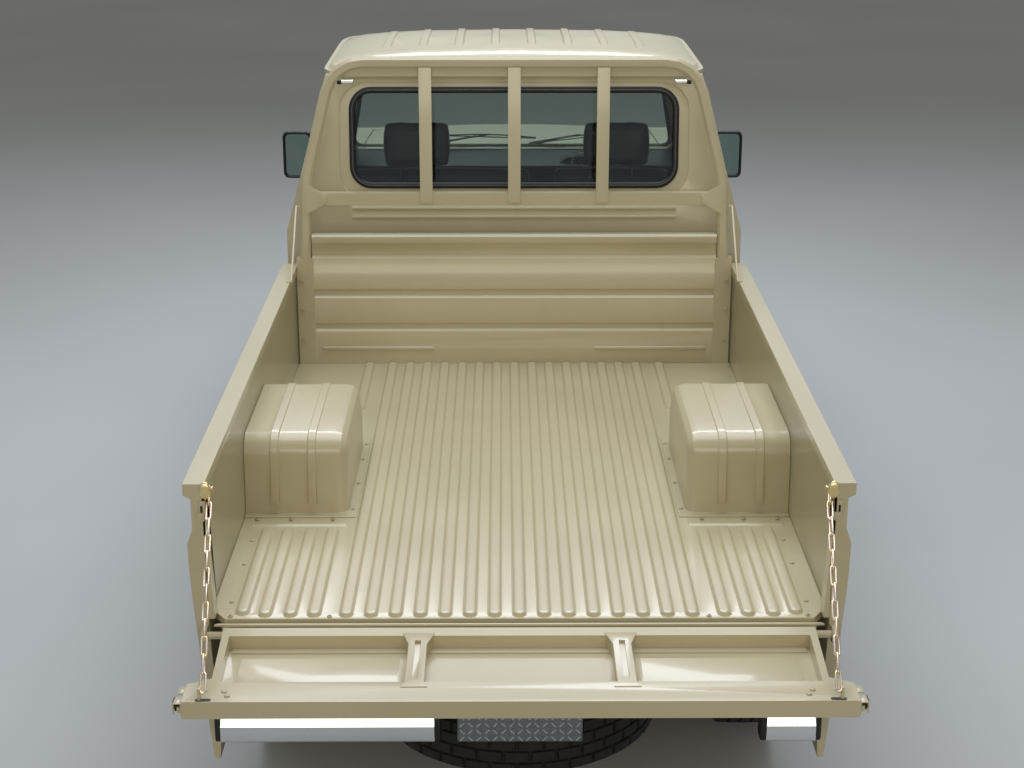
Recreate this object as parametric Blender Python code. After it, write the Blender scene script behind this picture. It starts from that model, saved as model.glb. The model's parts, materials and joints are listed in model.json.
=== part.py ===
"""A single-cab pickup truck with its tailgate hanging open on two chains, in metres, +Z up and +Y forwards.

The origin is on the ground under the middle of the truck. Right is +X. Stations along the truck are
measured forwards from the rear edge of the bed floor, and ahead() turns them into Y.
"""

import math

import bmesh
import bpy
from mathutils import Matrix, Vector

# Fits between pieces
seat_gap = 0.0003
shut_gap = 0.006
pin_gap = 0.0005
joint_gap = 0.0015

# Wheels
wheelbase = 3.18
rear_axle_ahead = 1.015
tyre_radius = 0.402
tyre_width = 0.205
bead_radius = 0.196
bead_width = 0.17
rim_flange_radius = 0.21
rim_flange_width = 0.01
rim_sheet = 0.012
rear_wheel_x = 0.715
front_wheel_x = 0.73
wheel_sides = 24
hub_radius = 0.048
hub_reach = 0.05
drum_radius = 0.135
drum_width = 0.04

# Axles, springs and steering
kingpin_x = 0.63
kingpin_radius = 0.028
axle_tube_radius = 0.042
differential_radius = 0.13
differential_nose = 0.20
spring_x = 0.455
spring_width = 0.06
spring_thickness = 0.035
spring_half_length = 0.60
spring_eye_radius = 0.028
arm_tip_radius = 0.032
arm_thickness = 0.03
lower_arm_drop = 0.115
upper_arm_rise = 0.115
arm_root_half = 0.11
steering_arm_length = 0.16
steering_arm_thickness = 0.022
tie_rod_radius = 0.013

# Chassis
frame_top = 0.66
rail_depth = 0.14
rail_x = 0.38
rail_width = 0.06
member_width = 0.08
member_depth = 0.07

# Load bed
floor_height = 0.81
floor_sheet = 0.02
bed_length = 2.185
bed_depth = 0.375
bed_inner_half = 0.806
bed_wall = 0.045
top_rail_lip = 0.006
top_rail_width = 0.055
rail_height = 0.031
skirt_depth = 0.41
skirt_sheet = 0.03
pillar_width = 0.016
pillar_length = 0.05
floor_corner = 0.04
arch_radius = 0.47
arch_sides = 12
arch_lip_width = 0.024
arch_lip_out = 0.004
rib_pitch = 0.0646
rib_count = 15
rib_half_width = 0.019
rib_top_half = 0.012
rib_height = 0.009
rib_start = 0.02
side_rib_x = (0.536, 0.598, 0.664, 0.724)
side_rib_end = 0.59
front_rib_x = 0.538
front_rib_start = 1.66
cross_bead_station = 0.625
cross_bead_width = 0.02
cross_bead_height = 0.005
sill_depth = 0.05
sill_width = 0.07
sill_stations = (0.045, 0.52, 1.50, 2.06)
house_inner_half = 0.50
house_rear = 0.703
house_front = 1.335
house_height = 0.237
house_sheet = 0.012
house_round = 0.06
house_edge = 0.045
house_bead_x = (0.606, 0.716)
house_bead_width = 0.024
house_bead_rise = 0.004
house_bead_end = 0.035
house_flange = 0.022
house_flange_sheet = 0.003

# Headboard and guard frame
headboard_height = 0.493
headboard_depth = 0.04
headboard_sheet = 0.016
headboard_grooves = ((0.125, 0.158), (0.253, 0.288))
headboard_groove = 0.008
headboard_slope = 0.008
headboard_crease = 0.362
headboard_crease_depth = 0.004
headboard_post_height = 0.405
headboard_recess_top = 0.462
headboard_recess = 0.014
headboard_bead_z = 0.059
headboard_bead_start = 0.30
headboard_bead_rise = 0.004
guard_tube = 0.04
guard_chamfer = 0.009
guard_top = 1.138
guard_foot_half = 0.768
guard_knee_half = 0.755
guard_knee = 0.70
guard_knee_round = 0.25
guard_shoulder_half = 0.647
guard_shoulder_round = 0.136
guard_web_low = 1.069
guard_web_depth = 0.016
guard_cross_low = 0.603
guard_cross_high = 0.648
guard_cross_depth = 0.032
guard_gusset_reach = 0.058
guard_gusset_rise = 0.034
guard_gusset_sheet = 0.012
guard_bar_x = 0.319
guard_bar_width = 0.045
guard_bar_depth = 0.012
brace_high = 0.592
brace_back = 0.24
brace_width = 0.012
brace_sheet = 0.006
brace_foot_out = 0.012

# Tailgate, its pins and chains
gate_pin_back = 0.035
gate_pin_drop = 0.03
gate_heel = 0.012
gate_reach = 0.405
gate_face_up = 0.025
gate_thickness = 0.045
gate_skin = 0.007
gate_foot_half = 0.763
gate_waist_half = 0.75
gate_rail_width = 0.10
gate_flange = 0.018
gate_beam = 0.067
gate_beam_ease = 0.02
gate_ledge = 0.027
gate_ledge_rise = 0.004
gate_pad_rise = 0.0025
gate_stay_x = 0.258
gate_stay_width = 0.046
gate_stay_wing = 0.018
gate_stay_foot = 0.01
gate_stay_rise = 0.002
gate_tip_reach = 0.012
gate_tip_length = 0.05
gate_dent = 0.003
gate_dent_border = 0.07
gate_pin_radius = 0.01
ear_radius = 0.022
ear_width = 0.012
chain_wire_radius = 0.003
chain_link_width = 0.019
chain_links_each = 6
chain_bite = 0.0015
chain_meeting_gap = 0.009
chain_top_x = 0.772
chain_top_ahead = 0.045
chain_top_drop = 0.03
chain_foot_x = 0.755
chain_foot_along = 0.39
chain_foot_up = 0.022
chain_pin_radius = 0.0028

# Cab
cab_gap = 0.075
cab_length = 1.40
cab_half = 0.845
cab_wall = 0.06
cab_floor_top = 0.72
cab_floor_sheet = 0.04
rocker_low = 0.46
waist_height = 1.29
upper_rise = 0.57
drip_half = 0.69
screen_side = 0.13
screen_top_side = 0.075
back_lean = 0.06
screen_overhang = 0.045
cowl_depth = 0.08
screen_rake = 0.675
roof_rise = 0.09
roof_sheet = 0.03
roof_overhang = 0.004
roof_fall = 0.054
roof_fullness = 2.6
roof_lip = 0.008
roof_lip_height = 0.012
roof_rear_curve = (
    (0.0, 0.42, 0.075),
    (0.012, 0.66, 0.05),
    (0.035, 0.86, 0.022),
    (0.075, 0.97, 0.004),
    (0.13, 1.0, 0.0),
)
roof_front_curve = ((0.45, 0.0), (0.75, 0.003), (0.90, 0.02))
roof_front_roll = 0.012
roof_arch_steps = 10
roof_rib_steps = 4
roof_arch_spread = 0.55
roof_rib_x = (0.068, 0.205, 0.341, 0.477)
roof_rib_half = 0.018
roof_rib_slope = 0.006
roof_rib_height = 0.007
window_half = 0.599
window_sill = 0.164
window_head = 0.051
window_corner = 0.075
window_panel = 0.045
window_panel_depth = 0.006
back_bead_heights = (1.343, 1.375)
back_bead_half = 0.60
back_bead_rise = 0.005
back_bead_width = 0.014
side_bead_height = 1.05
side_bead_width = 0.03
side_bead_rise = 0.005
glass_thickness = 0.006
door_rear_ahead = 0.15
door_length = 1.13
door_low = 0.60
door_head = 0.025
door_pillar = 0.085
door_frame = 0.055
door_glass_low = 1.315
door_pin_out = 0.014
door_top_ease = 0.009
hinge_barrel_radius = 0.01
hinge_barrel_length = 0.036
hinge_pin_radius = 0.004
hinge_pin_bite = 0.002
hinge_sides = 8
hinge_leaf = 0.05
door_hinge_heights = (0.80, 1.14)
hood_hinge_x = 0.55
mirror_ahead = 1.05
mirror_outer = 0.977
mirror_inner = 0.853
mirror_low = 1.27
mirror_high = 1.47
mirror_depth = 0.06

# Seats, dashboard and steering wheel
seat_base_height = 1.06
seat_back_height = 1.50
headrest_height = 1.63
driver_seat_x = 0.37
driver_seat_width = 0.50
passenger_seat_x = -0.29
passenger_seat_width = 0.78
seat_rear_ahead = 0.12
seat_length = 0.56
dash_depth = 0.24
dash_low = 1.00
dash_high = 1.30
steering_wheel_radius = 0.19
steering_wheel_rim = 0.014
steering_wheel_height = 1.14
steering_wheel_ahead = 0.86
column_tilt = 28
column_radius = 0.03
column_stop = 0.035

# Nose
front_overhang = 0.80
nose_rear_height = 1.285
nose_front_height = 1.205
hood_half = 0.70
hood_sheet = 0.022
hood_crown = 0.025
hood_nose_round = 0.05
hood_nose_drop = 0.008
fender_round = 0.02
fender_sheet = 0.022
apron_x = 0.44
apron_sheet = 0.014
liner_step = 0.005
apron_shelf_drop = 0.12
front_panel_back = 0.115
front_panel_depth = 0.045
front_panel_low = 0.68
grille_half = 0.49
grille_low = 0.88
grille_high = 1.13
grille_slats = 5
lamp_inner = 0.515
lamp_outer = 0.80
front_bumper_low = 0.46
front_bumper_high = 0.66
front_bumper_depth = 0.08
front_bumper_half = 0.835
front_bumper_return = 0.20

# Rear bumpers and step
bumper_low = 0.54
bumper_high = 0.64
bumper_face_back = 0.165
bumper_depth = 0.055
left_bumper_inner = 0.205
left_bumper_outer = 0.776
right_bumper_inner = 0.617
right_bumper_outer = 0.768
step_half = 0.16
bracket_width = 0.04

# Drive line, tank, exhaust and spare wheel
engine_half = 0.20
engine_ahead = 4.30
engine_length = 0.62
engine_low = 0.56
engine_high = 1.06
gearbox_half = 0.12
gearbox_rear = 3.25
gearbox_low = 0.44
shaft_radius = 0.028
tank_rear = 1.72
tank_length = 0.50
tank_width = 0.24
tank_low = 0.43
exhaust_radius = 0.023
muffler_radius = 0.07
muffler_sides = 12
muffler_rear = 2.10
muffler_length = 0.55
exhaust_hook_station = 2.40
exhaust_front = 4.08
spare_ahead = 0.45
tail_lamp_x = 0.70
tail_lamp_width = 0.13
tail_lamp_height = 0.075

LEFT, RIGHT = -1, 1
SIDE_NAMES = {LEFT: "left", RIGHT: "right"}
bed_outer_half = bed_inner_half + bed_wall
rail_inner_half = bed_inner_half - top_rail_lip
rail_outer_half = rail_inner_half + top_rail_width
pillar_inner_half = bed_inner_half - pillar_width
gate_rail_half = bed_inner_half
drip_height = waist_height + upper_rise
window_low = waist_height + window_sill
window_high = drip_height - window_head
door_high = drip_height - door_head
bed_wall_length = bed_length + headboard_depth
cab_back_ahead = bed_wall_length + cab_gap
cab_front_ahead = cab_back_ahead + cab_length
door_rear = cab_back_ahead + door_rear_ahead
door_front = door_rear + door_length
front_axle_ahead = rear_axle_ahead + wheelbase
nose_ahead = front_axle_ahead + front_overhang
gate_end = gate_pin_back + gate_reach
bed_rear_y = (gate_end - nose_ahead) / 2
axle_height = tyre_radius * math.cos(math.pi / wheel_sides)
frame_low = frame_top - rail_depth
rail_inner = rail_x - rail_width / 2
rail_outer = rail_x + rail_width / 2


def ahead(station):
    return bed_rear_y + station


def up(rise):
    return floor_height + rise


rear_axle_y = ahead(rear_axle_ahead)
front_axle_y = ahead(front_axle_ahead)


def clear_scene():
    for obj in list(bpy.data.objects):
        bpy.data.objects.remove(obj, do_unlink=True)


def object_from(bm, name):
    """Closes up a bmesh as an object with its faces pointing out."""
    bmesh.ops.recalc_face_normals(bm, faces=bm.faces)
    mesh = bpy.data.meshes.new(name)
    bm.to_mesh(mesh)
    bm.free()
    obj = bpy.data.objects.new(name, mesh)
    bpy.context.scene.collection.objects.link(obj)
    return obj


def loft(name, sections):
    """Skins between closed sections that have the same number of points, and caps the two ends."""
    bm = bmesh.new()
    rings = [[bm.verts.new(point) for point in section] for section in sections]
    bm.faces.new(rings[0])
    bm.faces.new(rings[-1])
    for here, there in zip(rings, rings[1:]):
        for i in range(len(here)):
            j = (i + 1) % len(here)
            bm.faces.new((here[i], here[j], there[j], there[i]))
    return object_from(bm, name)


def prism(name, outline, axis, start, end):
    """Pulls an outline along an axis; its points are the other two axes in X, Y, Z order."""
    place = {
        "X": lambda u, v, w: (w, u, v),
        "Y": lambda u, v, w: (u, w, v),
        "Z": lambda u, v, w: (u, v, w),
    }[axis]
    return loft(name, [[place(u, v, w) for u, v in outline] for w in (start, end)])


def block(name, low, high):
    """A box between two corners, given in any order."""
    (x0, y0, z0), (x1, y1, z1) = low, high
    return prism(name, [(x0, y0), (x1, y0), (x1, y1), (x0, y1)], "Z", z0, z1)


def turned(name, profile, centre, axis, sides=12):
    """A closed profile of (radius, along) points spun round an axis through centre, flat side down."""
    direction = Vector(axis).normalized()
    turn = Vector((0, 0, 1)).rotation_difference(direction).to_matrix()
    bm = bmesh.new()
    rings = []
    for step in range(sides):
        angle = 2 * math.pi * (step + 0.5) / sides
        spot = Vector((math.cos(angle), math.sin(angle), 0))
        points = [turn @ (spot * r + Vector((0, 0, a))) + Vector(centre) for r, a in profile]
        rings.append([bm.verts.new(point) for point in points])
    for step in range(sides):
        here, there = rings[step], rings[(step + 1) % sides]
        for i in range(len(profile)):
            j = (i + 1) % len(profile)
            if profile[i][0] or profile[j][0]:
                bm.faces.new((here[i], here[j], there[j], there[i]))
    bmesh.ops.remove_doubles(bm, verts=bm.verts, dist=1e-6)
    return object_from(bm, name)


def rod(name, start, end, radius, sides=12):
    """A round bar between two points."""
    start, end = Vector(start), Vector(end)
    length = (end - start).length
    return turned(name, [(0, 0), (radius, 0), (radius, length), (0, length)], start, end - start, sides)


def swept(name, path, section, normal, closed=False):
    """Carries a section of (out, across) points along a path; across follows the given normal."""
    path = [Vector(point) for point in path]
    count = len(path)
    rings = []
    for i, point in enumerate(path):
        before = path[i - 1] if (i or closed) else point
        after = path[(i + 1) % count] if (closed or i < count - 1) else point
        tangent = (after - before).normalized()
        arriving = (point - before).normalized() if before != point else tangent
        stretch = 1 / max(0.5, arriving.dot(tangent))
        across = (Vector(normal) - tangent * tangent.dot(Vector(normal))).normalized()
        out = tangent.cross(across)
        rings.append([point + out * (u * stretch) + across * v for u, v in section])
    if not closed:
        return loft(name, rings)
    bm = bmesh.new()
    loops = [[bm.verts.new(spot) for spot in ring] for ring in rings]
    for i in range(count):
        here, there = loops[i], loops[(i + 1) % count]
        for k in range(len(section)):
            j = (k + 1) % len(section)
            bm.faces.new((here[k], here[j], there[j], there[k]))
    return object_from(bm, name)


def round_section(radius, sides):
    turns = [2 * math.pi * (i + 0.5) / sides for i in range(sides)]
    return [(radius * math.cos(a), radius * math.sin(a)) for a in turns]


def chamfered_section(width, depth, chamfer):
    u, v = width / 2, depth / 2
    corners = ((u, -v), (u, v), (-u, v), (-u, -v))
    section = []
    for i, (cu, cv) in enumerate(corners):
        along_u = (cu - math.copysign(chamfer, cu), cv)
        along_v = (cu, cv - math.copysign(chamfer, cv))
        section += [along_v, along_u] if i % 2 else [along_u, along_v]
    return section


def oblong_section(width, depth):
    x, y = width / 2, depth / 2
    return [(-x, -y), (x, -y), (x, y), (-x, y)]


def joined(target, others, operation):
    """Applies one Boolean for each helper, and removes the helper."""
    for other in others:
        modifier = target.modifiers.new(operation.title(), "BOOLEAN")
        modifier.operation = operation
        modifier.object = other
        graph = bpy.context.evaluated_depsgraph_get()
        mesh = bpy.data.meshes.new_from_object(target.evaluated_get(graph))
        target.modifiers.clear()
        target.data = mesh
        bpy.data.objects.remove(other, do_unlink=True)
    return target


def fuse(target, *others):
    return joined(target, others, "UNION")


def cut(target, *others):
    return joined(target, others, "DIFFERENCE")


def keep_inside(target, *others):
    return joined(target, others, "INTERSECT")


def rounded(obj, width, segments=2, angle=40):
    """Rounds the sharp edges with a Bevel that is applied at once."""
    modifier = obj.modifiers.new("Bevel", "BEVEL")
    modifier.width = width
    modifier.segments = segments
    modifier.limit_method = "ANGLE"
    modifier.angle_limit = math.radians(angle)
    graph = bpy.context.evaluated_depsgraph_get()
    mesh = bpy.data.meshes.new_from_object(obj.evaluated_get(graph))
    obj.modifiers.clear()
    obj.data = mesh
    return obj


def leaned(obj, slope, from_height):
    """Shears a piece along Y with its height, so that it follows a raked plane."""
    for vertex in obj.data.vertices:
        vertex.co.y += slope * (vertex.co.z - from_height)
    return obj


def filleted(points, radii, steps=4):
    """A run of straight lines whose inner corners are rounded to the given radii."""
    points = [Vector(point) for point in points]
    path = [points[0]]
    for before, corner, after, radius in zip(points, points[1:], points[2:], radii):
        arriving = (corner - before).normalized()
        leaving = (after - corner).normalized()
        turn = arriving.angle(leaving)
        tangent = radius * math.tan(turn / 2)
        centre = corner + (leaving - arriving).normalized() * (radius / math.cos(turn / 2))
        first = corner - arriving * tangent - centre
        axis = arriving.cross(leaving).normalized()
        for i in range(steps + 1):
            path.append(centre + Matrix.Rotation(turn * i / steps, 3, axis) @ first)
    path.append(points[-1])
    return path


def round_corner_rect(low, high, radius, steps=4):
    """The outline of a rectangle with round corners between two corners."""
    (x0, y0), (x1, y1) = low, high
    corners = (
        (x1 - radius, y0 + radius, -90),
        (x1 - radius, y1 - radius, 0),
        (x0 + radius, y1 - radius, 90),
        (x0 + radius, y0 + radius, 180),
    )
    points = []
    for cx, cy, first in corners:
        for i in range(steps + 1):
            angle = math.radians(first + 90 * i / steps)
            points.append((cx + radius * math.cos(angle), cy + radius * math.sin(angle)))
    return points


def material(name, colour, roughness, metallic=0.0):
    found = bpy.data.materials.get(name)
    if found:
        return found
    made = bpy.data.materials.new(name)
    made.use_nodes = True
    shader = made.node_tree.nodes["Principled BSDF"]
    shader.inputs["Base Color"].default_value = (*colour, 1)
    shader.inputs["Roughness"].default_value = roughness
    shader.inputs["Metallic"].default_value = metallic
    return made


def finish(obj, kind):
    """Gives a piece its finish, and smooth shading up to a sharp edge."""
    finishes = {
        "paint": ((0.48, 0.44, 0.28), 0.35, 0.0),
        "chassis_black": ((0.02, 0.02, 0.02), 0.6, 0.0),
        "iron": ((0.12, 0.12, 0.12), 0.6, 0.5),
        "rubber": ((0.02, 0.02, 0.02), 0.8, 0.0),
        "wheel_paint": ((0.55, 0.53, 0.46), 0.4, 0.0),
        "black_plastic": ((0.015, 0.015, 0.015), 0.5, 0.0),
        "glass": ((0.10, 0.16, 0.14), 0.05, 0.0),
        "chrome": ((0.75, 0.76, 0.78), 0.08, 1.0),
        "zinc": ((0.70, 0.55, 0.28), 0.3, 1.0),
        "seat_cloth": ((0.012, 0.012, 0.012), 0.9, 0.0),
        "lamp": ((0.75, 0.78, 0.80), 0.1, 0.0),
    }
    colour, roughness, metallic = finishes[kind]
    obj.data.materials.clear()
    obj.data.materials.append(material(kind, colour, roughness, metallic))
    obj.data.shade_smooth()
    obj.data.set_sharp_from_angle(angle=math.radians(35))
    return obj


def carry(name, pivot, pieces, parent=None):
    """Hangs the pieces of a moving body on an empty that stands on its joint's axis."""
    empty = bpy.data.objects.new(name + "_pivot", None)
    bpy.context.scene.collection.objects.link(empty)
    place = Vector(pivot)
    if parent:
        empty.parent = parent
        place = place - parent.matrix_world.translation
    empty.location = place
    bpy.context.view_layer.update()
    for piece in pieces:
        piece.data.transform(Matrix.Translation(-Vector(pivot)))
        piece.parent = empty
    return empty


# Chassis


def make_chassis():
    end = nose_ahead - front_bumper_depth - seat_gap
    low, high = frame_low, frame_top
    frame = block("chassis_frame", (rail_inner, ahead(0), low), (rail_outer, ahead(end), high))
    fuse(frame, block("rail", (-rail_inner, ahead(0), low), (-rail_outer, ahead(end), high)))
    stations = (0.10, 1.62, exhaust_hook_station, 3.10, front_axle_ahead + 0.56)
    for station in stations:
        start = ahead(station - member_width / 2)
        size = member_width
        member_top = frame_top - 0.02
        low = (-rail_x, start, member_top - member_depth)
        fuse(frame, block("member", low, (rail_x, start + size, member_top)))
    for side in (LEFT, RIGHT):
        for station in (cab_back_ahead + 0.12, cab_front_ahead - 0.22):
            pad_top = cab_floor_top - cab_floor_sheet - seat_gap
            pad = block(
                "pad",
                (side * (rail_inner + 0.005), ahead(station), frame_top - 0.01),
                (side * (rail_outer - 0.005), ahead(station + 0.09), pad_top),
            )
            fuse(frame, pad)
        for reach in (-spring_half_length, spring_half_length):
            eye_y = rear_axle_y + reach
            hanger = block(
                "hanger",
                (side * (rail_x + 0.01), eye_y - 0.04, spring_eye_height() + spring_eye_radius + seat_gap),
                (side * (spring_x + spring_width / 2), eye_y + 0.04, frame_top - 0.02),
            )
            fuse(frame, hanger)
    muffler_top = muffler_radius * math.cos(math.pi / muffler_sides)
    hook_low = axle_height + muffler_rise() + muffler_top + seat_gap
    hook = block(
        "exhaust_hook",
        (exhaust_x() - 0.02, ahead(exhaust_hook_station - 0.02), hook_low),
        (exhaust_x() + 0.02, ahead(exhaust_hook_station + 0.02), frame_top - 0.04),
    )
    fuse(frame, hook)
    spare_hook = block(
        "spare_hook",
        (-0.03, ahead(spare_ahead - 0.03), spare_top() + seat_gap),
        (0.03, ahead(spare_ahead + 0.03), frame_top - 0.05),
    )
    beam = block(
        "spare_beam",
        (-rail_x, ahead(spare_ahead - 0.03), frame_top - 0.07),
        (rail_x, ahead(spare_ahead + 0.03), frame_top - 0.03),
    )
    fuse(frame, beam, spare_hook)
    return finish(frame, "chassis_black")


def spring_eye_height():
    return frame_low + 0.01


def exhaust_x():
    return 0.23


def muffler_rise():
    return 0.06


def spare_top():
    return frame_low - 0.012


def make_rear_axle():
    span = rear_wheel_x - hub_reach
    left_end, right_end = (-span, rear_axle_y, axle_height), (span, rear_axle_y, axle_height)
    axle = rod("rear_axle", left_end, right_end, axle_tube_radius)
    ball = [(0, -0.12), (0.07, -0.10), (0.115, -0.05), (differential_radius, 0)]
    ball += [(0.115, 0.05), (0.07, 0.10), (0, 0.12)]
    fuse(axle, turned("differential", ball, (0, rear_axle_y, axle_height), (1, 0, 0), 14))
    nose_end = rear_axle_y + differential_nose
    fuse(axle, rod("nose", (0, rear_axle_y, axle_height), (0, nose_end, axle_height), 0.05))
    for side in (LEFT, RIGHT):
        drum_x = rear_wheel_x - bead_width / 2 - drum_width
        drum = [(0, 0), (drum_radius, 0), (drum_radius, drum_width), (0, drum_width)]
        fuse(axle, turned("drum", drum, (side * drum_x, rear_axle_y, axle_height), (side, 0, 0), 16))
        spindle_end = rear_wheel_x + hub_reach
        start = (side * (drum_x + 0.01), rear_axle_y, axle_height)
        fuse(axle, rod("spindle", start, (side * spindle_end, rear_axle_y, axle_height), hub_radius, 14))
        fuse(axle, make_leaf_spring(side))
    return finish(axle, "iron")


def make_leaf_spring(side):
    """A bowed leaf pack that sits on the axle tube, with an eye at each end."""
    steps = 6
    eye_z = spring_eye_height()
    seat_z = axle_height + axle_tube_radius
    path = []
    for i in range(steps + 1):
        t = 2 * i / steps - 1
        y = rear_axle_y + t * spring_half_length
        path.append((side * spring_x, y, seat_z + (eye_z - seat_z) * t * t))
    spring = swept("spring", path, oblong_section(spring_thickness, spring_width), (1, 0, 0))
    for end in (path[0], path[-1]):
        start = (end[0] - spring_width / 2, end[1], end[2])
        stop = (end[0] + spring_width / 2, end[1], end[2])
        fuse(spring, rod("eye", start, stop, spring_eye_radius, 8))
    return spring


def make_front_axle():
    """The cross beam under the rails, with an upper and a lower arm out to each kingpin."""
    beam_half = rail_outer + 0.02
    beam_width = 0.15
    beam_top = frame_low - seat_gap
    low = (-beam_half, front_axle_y - beam_width / 2, axle_height - 0.03)
    beam = block("front_axle", low, (beam_half, front_axle_y + beam_width / 2, beam_top))
    root = rail_outer + 0.003
    for side in (LEFT, RIGHT):
        plate_low = axle_height - lower_arm_drop - arm_thickness / 2
        plate = block(
            "plate",
            (side * (beam_half - 0.04), front_axle_y - beam_width / 2 + 0.005, plate_low),
            (side * beam_half, front_axle_y + beam_width / 2 - 0.005, axle_height),
        )
        fuse(beam, plate)
        for rise in (-lower_arm_drop, upper_arm_rise):
            z = axle_height + rise
            outline = [
                (side * root, front_axle_y - arm_root_half),
                (side * kingpin_x, front_axle_y - 0.024),
                (side * kingpin_x, front_axle_y + 0.024),
                (side * root, front_axle_y + arm_root_half),
            ]
            arm = prism("arm", outline, "Z", z - arm_thickness / 2, z + arm_thickness / 2)
            tip_start = (side * kingpin_x, front_axle_y, z - arm_thickness / 2)
            tip_end = (side * kingpin_x, front_axle_y, z + arm_thickness / 2)
            fuse(beam, fuse(arm, rod("tip", tip_start, tip_end, arm_tip_radius)))
    return finish(beam, "iron")


def steering_pivot(side):
    return side * (kingpin_x - 0.025), front_axle_y - steering_arm_length


def make_knuckle(side):
    """An upright between the arms, with the wheel's spindle and the steering arm."""
    low = axle_height - lower_arm_drop + arm_thickness / 2 + pin_gap
    high = axle_height + upper_arm_rise - arm_thickness / 2 - pin_gap
    x = side * kingpin_x
    name = f"knuckle_{SIDE_NAMES[side]}"
    knuckle = rod(name, (x, front_axle_y, low), (x, front_axle_y, high), kingpin_radius)
    fuse(knuckle, block("web", (x - 0.012, front_axle_y - 0.05, axle_height - 0.05),
                        (x + 0.012, front_axle_y + 0.05, axle_height + 0.05)))
    end = side * (front_wheel_x + hub_reach)
    root, tip = (x, front_axle_y, axle_height), (end, front_axle_y, axle_height)
    fuse(knuckle, rod("spindle", root, tip, hub_radius))
    tip_x, tip_y = steering_pivot(side)
    z = axle_height
    half = steering_arm_thickness / 2
    outline = [(x - 0.015, front_axle_y), (x + 0.015, front_axle_y), (tip_x + 0.012, tip_y),
               (tip_x - 0.012, tip_y)]
    fuse(knuckle, prism("arm", outline, "Z", z - half, z + half))
    fuse(knuckle, rod("arm_end", (tip_x, tip_y, z - half), (tip_x, tip_y, z + half), 0.022))
    return finish(knuckle, "iron")


def make_tie_rod():
    left_x, y = steering_pivot(LEFT)
    right_x = steering_pivot(RIGHT)[0]
    top = axle_height - steering_arm_thickness / 2 - pin_gap
    z = top - 0.022
    tie = rod("tie_rod", (left_x, y, z), (right_x, y, z), tie_rod_radius)
    for x in (left_x, right_x):
        fuse(tie, rod("end", (x, y, top - 0.04), (x, y, top), 0.02))
    return finish(tie, "iron")


def make_tyre(name, x, y):
    half = tyre_width / 2
    bead = bead_width / 2
    inner = bead_radius + seat_gap
    profile = [
        (inner, -bead),
        (rim_flange_radius + 0.003, -bead),
        (0.30, -half),
        (0.365, -half + 0.006),
        (tyre_radius, -half + 0.028),
        (tyre_radius, half - 0.028),
        (0.365, half - 0.006),
        (0.30, half),
        (rim_flange_radius + 0.003, bead),
        (inner, bead),
    ]
    return finish(turned(name, profile, (x, y, axle_height), (1, 0, 0), wheel_sides), "rubber")


def make_rim(name, x, y, side):
    """A steel wheel: barrel, two flanges and a dished disc with the hub's hole."""
    bead = bead_width / 2 + seat_gap
    edge = bead + rim_flange_width
    barrel = bead_radius - rim_sheet
    bore = (hub_radius + pin_gap) / math.cos(math.pi / wheel_sides)
    profile = [
        (bore, 0.030),
        (barrel, 0.012),
        (barrel, -edge),
        (rim_flange_radius, -edge),
        (rim_flange_radius, -bead),
        (bead_radius, -bead),
        (bead_radius, bead),
        (rim_flange_radius, bead),
        (rim_flange_radius, edge),
        (barrel, edge),
        (barrel, 0.028),
        (bore, 0.046),
    ]
    rim = turned(name, profile, (x, y, axle_height), (side, 0, 0), wheel_sides)
    return finish(rim, "wheel_paint")


def make_spare_wheel():
    """The spare lies under the rear of the bed, held up against the frame by its hook."""
    half = tyre_width / 2
    z = spare_top() - half
    profile = [
        (0, -0.02), (0.16, -0.02), (0.185, -bead_width / 2), (0.30, -half), (tyre_radius, -half + 0.03),
        (tyre_radius, half - 0.03), (0.30, half), (0.185, bead_width / 2), (0.16, 0.0), (0, 0.0),
    ]
    spare = turned("spare_wheel", profile, (0, ahead(spare_ahead), z), (0, 0, 1), 24)
    top = spare_top()
    half_plate = 0.035
    carrier = block("carrier", (-half_plate, ahead(spare_ahead - half_plate), z - 0.01),
                    (half_plate, ahead(spare_ahead + half_plate), top))
    fuse(spare, carrier)
    return finish(spare, "rubber")


def make_powertrain():
    """One plain block for the engine, with the gearbox and the shaft to the rear axle."""
    start = ahead(engine_ahead - engine_length / 2)
    end = ahead(engine_ahead + engine_length / 2)
    engine = block("powertrain", (-engine_half, start, engine_low), (engine_half, end, engine_high))
    mount_z = frame_low + 0.05
    for side in (LEFT, RIGHT):
        foot = block(
            "foot",
            (side * (engine_half - 0.02), ahead(engine_ahead) + 0.05, mount_z),
            (side * (rail_inner - seat_gap), ahead(engine_ahead) + 0.15, mount_z + 0.05),
        )
        fuse(engine, foot)
    rear, front = ahead(gearbox_rear), start + 0.02
    wide, slim = gearbox_half + 0.03, gearbox_half - 0.04
    high = cab_floor_top - cab_floor_sheet - 0.02
    sections = []
    ends = ((front, wide, gearbox_low, high), (rear, slim, gearbox_low + 0.02, high - 0.05))
    for y, half, low, top in ends:
        sections.append([(-half, y, low), (half, y, low), (half, y, top), (-half, y, top)])
    fuse(engine, loft("gearbox", sections))
    shaft_start = (0, rear + 0.01, gearbox_low + 0.05)
    shaft_end = (0, rear_axle_y + differential_nose + joint_gap, axle_height)
    fuse(engine, rod("shaft", shaft_start, shaft_end, shaft_radius))
    return finish(engine, "iron")


def make_fuel_tank():
    inner = rail_outer + seat_gap
    low = (-inner - tank_width, ahead(tank_rear), tank_low)
    high = (-inner, ahead(tank_rear + tank_length), frame_top - 0.01)
    return finish(rounded(block("fuel_tank", low, high), 0.02), "chassis_black")


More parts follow.
